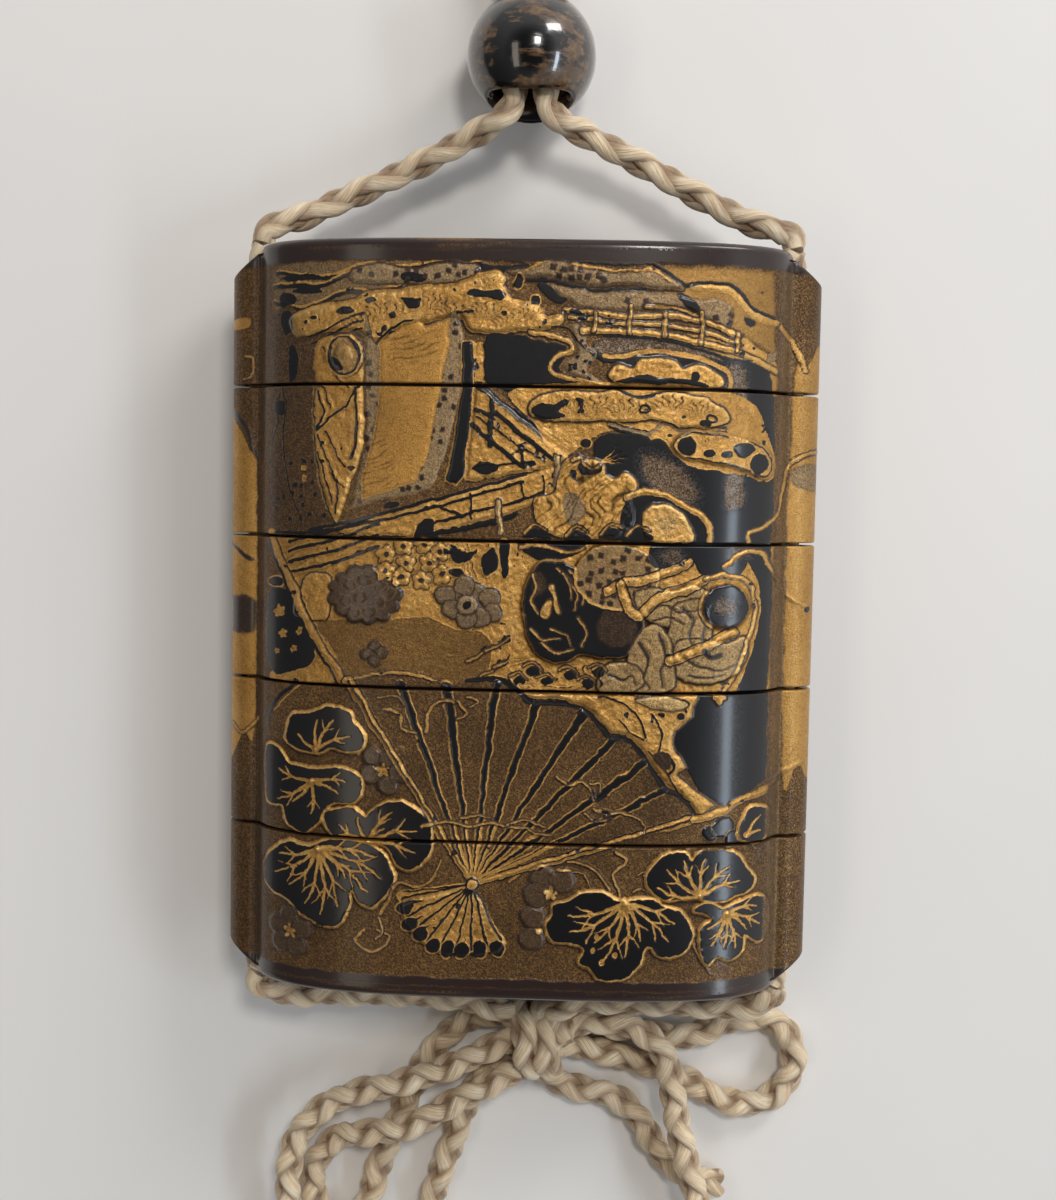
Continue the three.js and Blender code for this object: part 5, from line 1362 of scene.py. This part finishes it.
def drawBorders():  # rims at both ends, the smooth strips and the cord runners
    for side in (-1, 1):
        smooth = area([(side * 25.5, 35.4), (side * 27.3, 35.4), (side * 27.3, -35.4), (side * 25.5, -35.4)], curved=False)
        put(smooth, "nashiji", 1.0, 0.5)
        calmDown(area([(side * 25.3, 38), (side * 31, 38), (side * 31, -38), (side * 25.3, -38)], curved=False))
        put(smooth, "plain", 0.45, 0.5)
        put(smooth, "gold", 0.16 if side < 0 else 0.4, 0.5)
        put(smooth, "mist", 0 if side < 0 else 0.45, 0.5)
    runnerGold = (
        area([(-30.6, 20.6), (-29.4, 19.6), (-27.6, 16.6), (-27, 15.2), (-27, -11), (-28.2, -12.2), (-30.6, -13)]),
        area([(30.6, 25), (28.4, 26), (27.1, 22), (27.1, -14.6), (28.6, -14), (30.6, -13)]),
    )
    for shape, worn in zip(runnerGold, (0.0, 0.3)):
        put(shape, "gold", 0.95, 0.15)
        put(shape, "mist", worn, 0.15)
    put(area([(-30.6, 1.4), (-28, 1.8), (-27, 1), (-27.2, -1.6), (-28.8, -2), (-30.6, -1.4)]), "plain", 0.9, 0.3)
    put(area([(-29.8, 30), (-27.8, 30), (-27.8, 29.1), (-29.8, 29)]), "gold", 0.8, 0.2)
    curl([(-28.4, 26.2), (-27.4, 25.8), (-27.6, 24.2), (-28.6, 23.8)], 0.3)
    curl([(-29.6, 20.4), (-28.2, 19), (-27.4, 17), (-26.9, 15.8)], 0.3, "plain")
    curl([(-30, 7.4), (-28.6, 6.2), (-27.4, 5.6)], 0.2, "plain")
    put(area([(27.2, 15.6), (28.4, 16.2), (30.4, 16), (30.4, 13.6), (28, 14), (27.2, 14.6)]), "mist", 0.7, 0.2)
    bank([(30.2, 17.5), (28.8, 17.2), (27.3, 16.6), (26.6, 15.5), (26.2, 13), (25.5, 11), (24, 9.8), (22.7, 9.4), (22.8, 8.4)], 0.34)
    bank([(25.6, 29.6), (26.6, 28.6), (27.5, 27.2), (28.4, 25.6)], 0.5)
    bank([(-29.6, -11.6), (-28.4, -12.3), (-27.2, -11.4), (-26.6, -10.6)], 0.3)
    put(oval(29.2, 1.6, 0.3, 0.3), "black")
    for low, high in ((35.15, 38), (-38, -35.25)):
        put(area([(-31, low), (-31, high), (31, high), (31, low)], curved=False), "plain", 1.0, 0.08)
    for side in (-1, 1):  # the runners' own ends stay speckled
        put(area([(side * 27, 38), (side * 31, 38), (side * 31, 33.6), (side * 27, 36)], curved=False), "plain", 0.5, 0.4)
        put(area([(side * 27, -38), (side * 31, -38), (side * 31, -33.6), (side * 27, -36)], curved=False), "plain", 0.4, 0.4)
    put(line([(-24, -36.15), (24, -36.15)], 0.08, curved=False), "gold", 0.35)
    rise[:] = np.where(np.abs(gridY)[:, None] > 35.2, 0, rise)


drawSky()
drawPineOnLid()
drawHouse()
drawWaterAndClouds()
drawGarden()
drawFigures()
drawLeaves()
drawFan()
drawShore()
drawBorders()
print("inro: picture laid out")

# Hand and age: edges waver, gold is chiselled and pitted, and the relief's hollows are darkened with painted shade
age = {
    "waver": ((1.1, 0.07), (0.4, 0.035), (0.2, 0.022)),  # over what length edges stray, and how far
    "chisel": ((0.62, 0.02), (0.26, 0.022)),  # the same for the gold's surface
    "pitLengths": (0.62, 2.6),
    "pitShare": 1.62,  # higher leaves fewer pits
    "halo": 0.28,
    "highest": 0.5,
}


def roughField(length, across=None):  # smooth random hills and hollows about so long
    field = []
    for grid, size, reach in ((gridY, ground["halfY"], length), (gridX, ground["halfX"], across or length)):
        place = (grid + size) / reach
        cell = place.astype(int)
        share = place - cell
        field.append((cell, share * share * (3 - 2 * share)))
    (row, down), (column, across) = field
    hills = chance.standard_normal((row.max() + 2, column.max() + 2)).astype(np.float32)
    near = hills[row][:, column] * (1 - across) + hills[row][:, column + 1] * across
    far = hills[row + 1][:, column] * (1 - across) + hills[row + 1][:, column + 1] * across
    return near * (1 - down[:, None]) + far * down[:, None]


def softened(field, reach):
    count = max(1, round(reach / ground["step"]))
    for axis in (0, 1, 0, 1):
        pad = [(count, count) if side == axis else (0, 0) for side in (0, 1)]
        total = np.cumsum(np.pad(field, pad, mode="edge"), axis=axis, dtype=np.float64)
        ahead, behind = np.take(total, range(2 * count, total.shape[axis]), axis), np.take(
            total, range(0, total.shape[axis] - 2 * count), axis)
        field = ((ahead - behind) / (2 * count)).astype(np.float32)
    return field


def strayed(field, strayX, strayY):
    rows = np.clip(np.arange(len(gridY))[:, None] + strayY / ground["step"], 0, len(gridY) - 1.01)
    columns = np.clip(np.arange(len(gridX))[None, :] + strayX / ground["step"], 0, len(gridX) - 1.01)
    r, c = rows.astype(int), columns.astype(int)
    fr, fc = rows - r, columns - c
    return ((field[r, c] * (1 - fc) + field[r, c + 1] * fc) * (1 - fr)
            + (field[r + 1, c] * (1 - fc) + field[r + 1, c + 1] * fc) * fr).astype(np.float32)


strayX, strayY = (sum(roughField(length) * reach for length, reach in age["waver"]) for side in range(2))
for name in layers:
    layers[name] = strayed(layers[name], strayX, strayY)
tone, rise, calm = (strayed(field, strayX, strayY) for field in (tone, rise, calm))
lively = np.clip(layers["gold"] + layers["silver"] * 0.8, 0, 1) * (1 - calm)
pits = roughField(age["pitLengths"][0]) * 0.7 + roughField(0.3) * 0.45 + roughField(age["pitLengths"][1]) * 0.7
pits = np.clip((pits - age["pitShare"]) / 0.22, 0, 1) * lively * (1 - layers["silver"])
layers["black"] = np.maximum(layers["black"], pits)
layers["gold"] *= 1 - pits
halo = np.clip((softened(layers["gold"], age["halo"] / 2) - layers["gold"]) * 3.0 - 0.35, 0, 1) * (1 - calm * 0.7)
layers["black"] = np.maximum(layers["black"], halo)
layers["mist"] *= 1 - halo
layers["silver"] *= 1 - halo
chisel = sum(roughField(length) * reach for length, reach in age["chisel"])
# painted shade: the tone goes dark in the hollows and at the feet of the relief, and lighter on its raised edges as
# worn gold
low = softened(rise, 0.3)
tone += np.clip((rise - low) * 5, -1, 0.9) + chisel * 3.2 * lively + roughField(3.4) * 0.09
rise = np.clip(rise, 0, None)
rise = np.where(rise > age["highest"] / 2, age["highest"] / 2 + (rise - age["highest"] / 2) * 0.42, rise)
rise += chisel * lively - pits * 0.07
streaks = roughField(0.14, 2.6) * 0.7 + roughField(0.5, 6) * 0.6
rubbed = np.clip(streaks - 0.35, 0, 1) * np.clip((np.abs(gridY)[:, None] - 35.9) / 1.2, 0, 1)
layers["gold"] = np.maximum(layers["gold"], rubbed * 0.5)
layers["plain"] *= 1 - rubbed * 0.6
print("inro: picture aged")

# The case: a lid and four boxes on risers, cut from one outline
body = {
    "halfWidth": 27,
    "halfThickness": 10.1,
    "halfHeight": 37.4,
    "widthPower": 3.45,
    "thicknessPower": 2.36,
    "backFlat": 7,
    "runner": 3,
    "runnerEnd": 36.5,
    "runnerSlope": 2.2,  # how much sooner the runner ends at its outer side
    "endRounding": 0.7,
    "fillet": 1.1,
    "channel": 1.95,
    "joints": (23.2, 8.16, -6.47, -21.6),
    "gap": 0.15,
    "riser": (23.2, 8.6, 1.1, 4.2),  # half width, half thickness, wall, height
    "floor": 1.6,
    "base": 2,
    "fineStep": 0.105,
    "backStep": 1.1,
}


def heightAt(x, halfWidth, halfThickness):
    reach = np.minimum(np.abs(x) / halfWidth, 1)
    return halfThickness * (1 - reach ** body["widthPower"]) ** (1 / body["thicknessPower"])


def frontOutline(withRunners):  # half a section, from left to right, as x and height over the middle
    turn = np.linspace(0, 1, 400)
    ends = body["runner"] * (1 - np.cos(turn * math.pi / 2))
    limit = body["halfWidth"] + (body["runner"] if withRunners else 0)
    x = np.concatenate([-limit + ends, np.linspace(-limit + body["runner"], limit - body["runner"], 900)[1:-1],
                        limit - ends[::-1]])
    z = heightAt(x, body["halfWidth"], body["halfThickness"])
    if withRunners:
        offset = np.abs(x) - body["halfWidth"]
        round_ = np.sqrt(np.clip(body["runner"] ** 2 - offset**2, 0, None))
        round_ = np.where(np.abs(offset) <= body["runner"], round_, -9)
        blend = np.clip(body["fillet"] - np.abs(z - round_), 0, None) / body["fillet"]
        z = np.maximum(z, round_) + blend**2 * body["fillet"] / 4 * (np.abs(offset) < 2.2)
    return np.stack([x, z], axis=1)


def along(line):
    return np.concatenate([[0], np.cumsum(np.linalg.norm(np.diff(line, axis=0), axis=1))])


def resampled(line, stations):
    length = along(line)
    return np.stack([np.interp(stations * length[-1], length, line[:, axis]) for axis in range(2)], axis=1)


def sectionLoops():  # the same number of points round the section with and without its runners
    full, bare = frontOutline(True), frontOutline(False)
    corner = 24.4
    loops = []
    for line in (full, bare):
        left = line[line[:, 0] <= -corner]
        middle = line[np.abs(line[:, 0]) < corner]
        right = line[line[:, 0] >= corner]
        fine = round(2 * corner / body["fineStep"])
        sides = 46
        front = np.concatenate([resampled(left, np.linspace(0, 1, sides))[:-1],
                                resampled(middle, np.linspace(0, 1, fine)),
                                resampled(right, np.linspace(0, 1, sides))[1:]])
        back = np.concatenate([resampled(right, np.linspace(1, 0, 24))[1:],
                               resampled(middle, np.linspace(1, 0, round(2 * corner / body["backStep"]))),
                               resampled(left, np.linspace(1, 0, 24))[:-1]])
        back[:, 1] = np.where(np.abs(back[:, 0]) < body["backFlat"], body["halfThickness"], back[:, 1])
        loops.append((front, back * (1, -1)))
    return [np.concatenate(pair) for pair in loops], len(loops[0][0])


(fullLoop, bareLoop), frontCount = sectionLoops()


def outwardOf(loop):
    ahead = np.roll(loop, -1, axis=0) - np.roll(loop, 1, axis=0)
    outward = np.stack([-ahead[:, 1], ahead[:, 0]], axis=1)
    return outward / np.maximum(np.linalg.norm(outward, axis=1, keepdims=True), 1e-9)


def sampled(field, x, y):  # a grid value between its points
    column = np.clip((x - gridX[0]) / ground["step"], 0, len(gridX) - 1.001)
    row = np.clip((y - gridY[0]) / ground["step"], 0, len(gridY) - 1.001)
    c, r = column.astype(int), row.astype(int)
    fc, fr = column - c, row - r
    return ((field[r, c] * (1 - fc) + field[r, c + 1] * fc) * (1 - fr)
            + (field[r + 1, c] * (1 - fc) + field[r + 1, c + 1] * fc) * fr)


def runnerEndAt(x):
    return body["runnerEnd"] - body["runnerSlope"] * np.clip((np.abs(x) - body["halfWidth"]) / body["runner"], 0, 1)


def rowsOf(low, high):  # stations up a piece: height, outline and how far it is drawn in
    halfHeight, rounding = body["halfHeight"], body["endRounding"]
    rows = []
    seam = ((0.0, 0.13), (0.05, 0.05), (0.12, 0.0))
    lowIsEnd, highIsEnd = low < -halfHeight + 0.01, high > halfHeight - 0.01
    start, stop = low, high
    if lowIsEnd:
        rows += [("end", -halfHeight + rounding * (1 - math.sin(t)), rounding * (1 - math.cos(t)))
                 for t in np.linspace(math.pi / 2, 0, 6)]
        start = -body["runnerEnd"]
    else:
        rows += [("full", low + up, inset) for up, inset in seam]
        start = low + 0.2
    if highIsEnd:
        stop = body["runnerEnd"]
    else:
        stop = high - 0.2
    count = round((stop - start) / body["fineStep"])
    if lowIsEnd:
        rows.append(("cap", -body["runnerEnd"], 0.0))
    rows += [("full", y, 0.0) for y in np.linspace(start, stop, count)]
    if highIsEnd:
        rows.append(("cap", body["runnerEnd"], 0.0))
        rows += [("end", halfHeight - rounding * (1 - math.sin(t)), rounding * (1 - math.cos(t)))
                 for t in np.linspace(0, math.pi / 2, 6)]
    else:
        rows += [("full", high - up, inset) for up, inset in reversed(seam)]
    return rows


def outerShell(low, high):
    fullOut, bareOut = outwardOf(fullLoop), outwardOf(bareLoop)
    front = np.arange(len(fullLoop)) < frontCount
    points = []
    rows = rowsOf(low, high)
    for kind, y, inset in rows:
        loop, out = (fullLoop, fullOut) if kind == "full" else (bareLoop, bareOut)
        ys = np.full(len(loop), y)
        if kind == "full":
            limit = runnerEndAt(loop[:, 0])
            near = np.abs(ys) > limit - 0.001
            pulled = np.clip((np.abs(ys) - limit + 0.25) / 0.25, 0, 1) * (np.abs(loop[:, 0]) > body["halfWidth"] - 0.6)
            inset = inset + 0.22 * pulled * pulled
            ys = np.where(near, np.sign(ys) * limit, ys)
        lifted = np.where(front, sampled(rise, loop[:, 0], ys), 0) - inset
        place = loop + out * lifted[:, None]
        points.append(np.stack([place[:, 0], ys, place[:, 1] + body["halfThickness"]], axis=1))
    grid = np.array(points)
    rowCount, columns = grid.shape[:2]
    points = np.concatenate([grid.reshape(-1, 3), [(0, grid[0, 0, 1], body["halfThickness"]),
                                                   (0, grid[-1, 0, 1], body["halfThickness"])]])
    index = np.arange(rowCount * columns).reshape(rowCount, columns)
    beside = np.roll(index, -1, axis=1)
    quads = np.stack([index[:-1], index[1:], beside[1:], beside[:-1]], axis=-1).reshape(-1, 4)
    lowCap = [(index[0, i], beside[0, i], rowCount * columns) for i in range(columns)]
    highCap = [(beside[-1, i], index[-1, i], rowCount * columns + 1) for i in range(columns)]
    return points, quads, lowCap + highCap


def fastMesh(name, points, quads, triangles=()):
    data = bpy.data.meshes.new(name)
    corners = np.concatenate([np.ravel(quads), np.ravel(np.array(triangles, dtype=int))]).astype(np.int32)
    starts = np.concatenate([np.arange(len(quads)) * 4, len(quads) * 4 + np.arange(len(triangles)) * 3]).astype(np.int32)
    data.vertices.add(len(points))
    data.vertices.foreach_set("co", np.ravel(np.array(points) * mm).astype(np.float32))
    data.loops.add(len(corners))
    data.loops.foreach_set("vertex_index", corners)
    data.polygons.add(len(starts))
    data.polygons.foreach_set("loop_start", starts)
    data.update(calc_edges=True)
    data.validate()
    piece = bpy.data.objects.new(name, data)
    bpy.context.scene.collection.objects.link(piece)
    return piece


def ovalLoop(halfWidth, halfThickness, count=72):
    angle = np.linspace(0, 2 * math.pi, count, endpoint=False)
    x = halfWidth * np.sign(np.cos(angle)) * np.abs(np.cos(angle)) ** (2 / body["widthPower"])
    z = np.sign(np.sin(angle)) * heightAt(x, halfWidth, halfThickness)
    return np.stack([x, z + body["halfThickness"]], axis=1)


def prism(name, loop, low, high):
    count = len(loop)
    points = [(x, low, z) for x, z in loop] + [(x, high, z) for x, z in loop]
    sides = [(i, (i + 1) % count, count + (i + 1) % count, count + i) for i in range(count)]
    data = bpy.data.meshes.new(name)
    data.from_pydata([tuple(np.array(point) * mm) for point in points], [],
                     [*sides, tuple(reversed(range(count))), tuple(range(count, 2 * count))])
    made = bmesh.new()
    made.from_mesh(data)
    bmesh.ops.recalc_face_normals(made, faces=made.faces)
    bmesh.ops.triangulate(made, faces=[face for face in made.faces if len(face.verts) > 4])
    made.to_mesh(data)
    made.free()
    return bpy.data.objects.new(name, data)


def cut(piece, tool, operation="DIFFERENCE"):
    bpy.context.scene.collection.objects.link(tool)
    modifier = piece.modifiers.new("cut", "BOOLEAN")
    modifier.operation = operation
    modifier.object = tool
    modifier.solver = "MANIFOLD"
    settle(piece)
    bpy.data.objects.remove(tool)


def casePiece(name, low, high):
    isLid, isBase = high > body["halfHeight"] - 0.01, low < -body["halfHeight"] + 0.01
    riserX, riserZ, wall, riserHeight = body["riser"]
    points, quads, triangles = outerShell(low, high)
    piece = fastMesh(name + "_lacquered", points, quads, triangles)
    socket = ovalLoop(riserX + 2 * body["gap"], riserZ + 2 * body["gap"])
    hollow = ovalLoop(riserX - wall, riserZ - wall)
    if isLid:
        cut(piece, prism("hollow", socket, low - 5, body["halfHeight"] - body["base"]))
    else:
        cut(piece, prism("riser", ovalLoop(riserX, riserZ), high - 2, high + riserHeight), "UNION")
        inner = low + body["base"] if isBase else low + riserHeight + 2 * body["gap"] + body["floor"]
        cut(piece, prism("hollow", hollow, inner, high + riserHeight + 5))
        if not isBase:
            cut(piece, prism("socket", socket, low - 5, low + riserHeight + 2 * body["gap"]))
    for side in (-1, 1):
        angle = np.linspace(0, 2 * math.pi, 32, endpoint=False)
        ring = np.stack([side * body["halfWidth"] + body["channel"] * np.cos(angle),
                         body["halfThickness"] + body["channel"] * np.sin(angle)], axis=1)
        cut(piece, prism("channel", ring, -50, 50))
    return piece


def paintOn(piece):  # what each point is finished with, from the picture
    data = piece.data
    count = len(data.vertices)
    place = np.empty(count * 3, dtype=np.float32)
    data.vertices.foreach_get("co", place)
    x, y, z = (place.reshape(-1, 3) / mm).T
    out = np.hypot(np.abs(x) - body["halfWidth"], z - body["halfThickness"]) > body["runner"] - 0.45
    onRunner = (np.abs(x) > 25.4) & out
    onFront = (z - body["halfThickness"]) > heightAt(x, body["halfWidth"], body["halfThickness"]) - 0.5
    visible = (z > body["halfThickness"] - 0.5) & np.where(np.abs(x) > 26.4, onRunner, onFront)
    outside = visible | np.where(np.abs(x) > 26.4, onRunner, np.abs(z - body["halfThickness"])
                                 > heightAt(x, body["halfWidth"], body["halfThickness"]) - 0.5)
    front = {finish: np.where(visible, sampled(layers[finish], x, y), 0) for finish in layers}
    rim = (np.abs(y) > 35.2) & outside & ~visible
    front["plain"] = np.where(outside, np.maximum(front["plain"], rim), 1.0)
    shadeAt = np.where(visible, sampled(tone, x, y), 0)
    first = np.stack([front["gold"], front["black"], front["mist"], front["plain"]], axis=1)
    # the second attribute carries silver, the painted sheen with its dusting, the tone with its painted shade in the
    # relief's hollows, and which points are outside
    second = np.stack([front["silver"], front["dust"], np.clip(0.5 + shadeAt / 2, 0, 1), outside.astype(float)], axis=1)
    for label, values in (("finishA", first), ("finishB", second)):
        field = data.attributes.new(label, "FLOAT_COLOR", "POINT")
        field.data.foreach_set("color", np.ravel(values).astype(np.float32))


lacquer = {
    "ground": tint(96, 71, 45),
    "speck": tint(176, 134, 80),
    "dark": tint(30, 21, 16),
    "gold": tint(206, 157, 84),
    "goldDeep": tint(128, 86, 42),
    "goldWorn": tint(246, 208, 138),
    "black": tint(15, 14, 16),
    "mist": tint(146, 123, 94),
    "plain": tint(42, 29, 25),
    "silver": tint(206, 170, 112),
    # the grey of the painted reflection on black, partly a dusting of powder
    "dust": tint(128, 124, 120),
}


def lacquerLook(bench):
    place = bench.place()
    first = bench.add("ShaderNodeAttribute", {"attribute_name": "finishA"}, {}, "Color")
    second = bench.add("ShaderNodeAttribute", {"attribute_name": "finishB"}, {}, "Color")
    gold = bench.add("ShaderNodeSeparateColor", {}, {"Color": first})
    black, mist, plainPart = gold.other("Green"), gold.other("Blue"), first.other("Alpha")
    silver = bench.add("ShaderNodeSeparateColor", {}, {"Color": second})
    dust, toneAt, outside = silver.other("Green"), silver.other("Blue"), second.other("Alpha")
    grain = bench.noise(place, 7600, 2, 0.6)
    powder = bench.add("ShaderNodeTexVoronoi", {"feature": "F1"}, {"Vector": place, "Scale": 8200}, "Color")
    lot = bench.add("ShaderNodeSeparateColor", {}, {"Color": powder})
    brush = bench.noise(place, 1300, 4, 0.6)
    broad = bench.noise(place, 110, 3)
    specks = (lot * 0.7 + brush * 0.3).between(0.44, 0.72)
    shadows = lot.other("Green").between(0.5, 0.9)
    up = ((toneAt - 0.5) * 2).most(0.0).least(1.0)
    down = ((0.5 - toneAt) * 2).most(0.0).least(1.0)
    base = bench.blend(specks * 0.55, lacquer["ground"], lacquer["speck"])
    base = bench.blend(shadows * 0.55, base, lacquer["dark"])
    base = bench.blend(broad.between(0.3, 0.7) * 0.3, base, lacquer["dark"])
    wear = (brush * 0.6 + lot.other("Blue") * 0.4).between(0.42, 0.72)
    goldColour = bench.blend(wear * 0.5, lacquer["gold"], lacquer["goldDeep"])
    goldColour = bench.blend(broad.between(0.35, 0.75) * 0.25, goldColour, lacquer["goldDeep"])
    goldColour = bench.blend(up * 0.75, goldColour, lacquer["goldWorn"])
    mistColour = bench.blend(specks * 0.4, lacquer["mist"], lacquer["silver"])
    mistColour = bench.blend(shadows * 0.45, mistColour, lacquer["plain"])
    silverColour = bench.blend(wear * 0.6, lacquer["silver"], lacquer["mist"])
    silverColour = bench.blend(shadows * 0.5, silverColour, lacquer["plain"])
    silverColour = bench.blend(up * 0.6, silverColour, lacquer["goldWorn"])
    colour = bench.blend(gold.between(0.3, 0.7), base, goldColour)
    colour = bench.blend(mist.between(0.1, 0.95), colour, mistColour)
    colour = bench.blend(silver, colour, silverColour)
    colour = bench.blend(plainPart, colour, lacquer["plain"])
    colour = bench.blend(black.between(0.3, 0.7), colour, lacquer["black"])
    # the painted reflection on black, partly a dusting of powder: grey and more metallic
    dustAndSheenMask = dust * (lot * 0.5 + brush * 0.5).between(0.4, 0.66)
    colour = bench.blend(dustAndSheenMask * 0.7, colour, lacquer["dust"])
    # where the tone is low the colour goes dark: brush lines, needles and random tone, and painted shade in the
    # relief's hollows
    colour = bench.blend((down * 0.95).least(0.9), colour, lacquer["dark"])
    solid = (1 - gold - silver * 0.7 - mist * 0.6).most(0.0)
    quiet = (black + plainPart).least(1.0)
    metal = (gold * 0.88 + silver * 0.75 + mist * 0.4 + solid * (0.4 + specks * 0.4)) * (1 - quiet)
    rough = 0.3 - quiet * 0.02 + grain * 0.2 - up * 0.08 + down * 0.15 + mist * 0.1
    relief = bench.bump((grain * 0.45 + lot * 0.55) * (1 - quiet * 0.92) + brush * 0.6 * (1 - quiet), 1.0, 0.0001)
    return {"Base Color": colour, "Metallic": (metal + dustAndSheenMask * 0.6).least(0.95), "Roughness": rough.most(0.08),
            "Normal": relief, "Coat Weight": (0.12 + quiet * 0.88) * outside}


lacquerMaterial = newMaterial("maki_e_lacquer", lacquerLook, **{"Coat Roughness": 0.16, "Coat IOR": 1.38, "Specular IOR Level": 0.22})
edges = [body["halfHeight"], *body["joints"], -body["halfHeight"]]
for number, name in enumerate(("lid", "case_1", "case_2", "case_3", "case_4")):
    low = edges[number + 1] + (body["gap"] if number < 4 else 0)
    high = edges[number] - (body["gap"] if number > 0 else 0)
    piece = casePiece(name, low, high)
    paintOn(piece)
    piece.data.materials.clear()
    piece.data.materials.append(lacquerMaterial)
    piece.data.polygons.foreach_set("use_smooth", [True] * len(piece.data.polygons))
    piece.data.set_sharp_from_angle(angle=math.radians(48))
    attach(piece, "root")
    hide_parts(name)
    piece.data.calc_loop_triangles()
    print("inro:", name, len(piece.data.loop_triangles), "triangles")

# Floor and light
studio = {
    "floor": tint(234, 232, 229),
    "floorShade": tint(214, 212, 210),
    "overhead": (tint(150, 150, 160), 0.12),  # the dark above, where somebody leans over the table
    "walls": (tint(240, 240, 243), 0.5),
    "sides": (0.34, 0.24),  # how much brighter the walls are to the right and behind
    "fade": (0.97, 0.62),  # from straight up down to the walls, as the height of a direction
    "lamps": [  # place, what it looks at, size across and along, power, colour
        ((-255, -30, 520), (-4, 0, 10), (110, 420), 0.3, (1.0, 0.9, 0.76)),
        ((455, -110, 400), (4, 0, 10), (70, 340), 0.78, (0.76, 0.88, 1.0)),
        ((120, 215, 540), (10, 30, 0), (90, 90), 1.05, (1.0, 0.96, 0.9)),
        ((330, 420, 300), (10, 60, 0), (240, 120), 1.25, (1.0, 0.98, 0.96)),
    ],
}
floor = newMesh("floor", [(-0.9, -0.9, -0.0001), (0.9, -0.9, -0.0001), (0.9, 0.9, -0.0001), (-0.9, 0.9, -0.0001)],
                [(0, 1, 2, 3)], smooth=False)


def floorLook(bench):
    mottle = bench.noise(bench.place(), 18, 3)
    return {"Base Color": bench.blend(mottle.between(0.3, 0.7) * 0.15, studio["floor"], studio["floorShade"])}


floor.data.materials.append(newMaterial("paper_floor", floorLook, **{"Roughness": 0.9, "Specular IOR Level": 0.1}))
world = bpy.data.worlds.new("studio")
world.use_nodes = True
sky = Bench(world.node_tree)
direction = sky.add("ShaderNodeTexCoord", {}, {}, "Generated")
across = sky.add("ShaderNodeSeparateXYZ", {}, {"Vector": direction}, "X")
fade = across.other("Z").between(studio["fade"][1], studio["fade"][0])
wallPower = across * studio["sides"][0] + across.other("Y") * studio["sides"][1] + studio["walls"][1]
background = world.node_tree.nodes["Background"]
bright = sky.blend(fade, studio["walls"][0], studio["overhead"][0])
sky.tree.links.new(bright.socket, background.inputs["Color"])
power = wallPower + fade * (studio["overhead"][1] - wallPower)
sky.tree.links.new(power.socket, background.inputs["Strength"])
bpy.context.scene.world = world
for number, (place, target, size, power, colour) in enumerate(studio["lamps"]):
    lampData = bpy.data.lights.new(f"softbox_{number}", "AREA")
    lampData.shape = "RECTANGLE"
    lampData.size = size[0] * mm
    lampData.size_y = size[1] * mm
    lampData.energy = power
    lampData.color = colour
    lamp = bpy.data.objects.new(lampData.name, lampData)
    lamp.location = Vector(place) * mm
    toTarget = (Vector(target) - Vector(place)).normalized()
    across = Vector((0, 1, 0)).cross(-toTarget).normalized()
    lamp.rotation_euler = Matrix((across, (-toTarget).cross(across), -toTarget)).transposed().to_euler()
    bpy.context.scene.collection.objects.link(lamp)
bpy.context.scene.view_settings.view_transform = "Standard"
print("inro: studio")
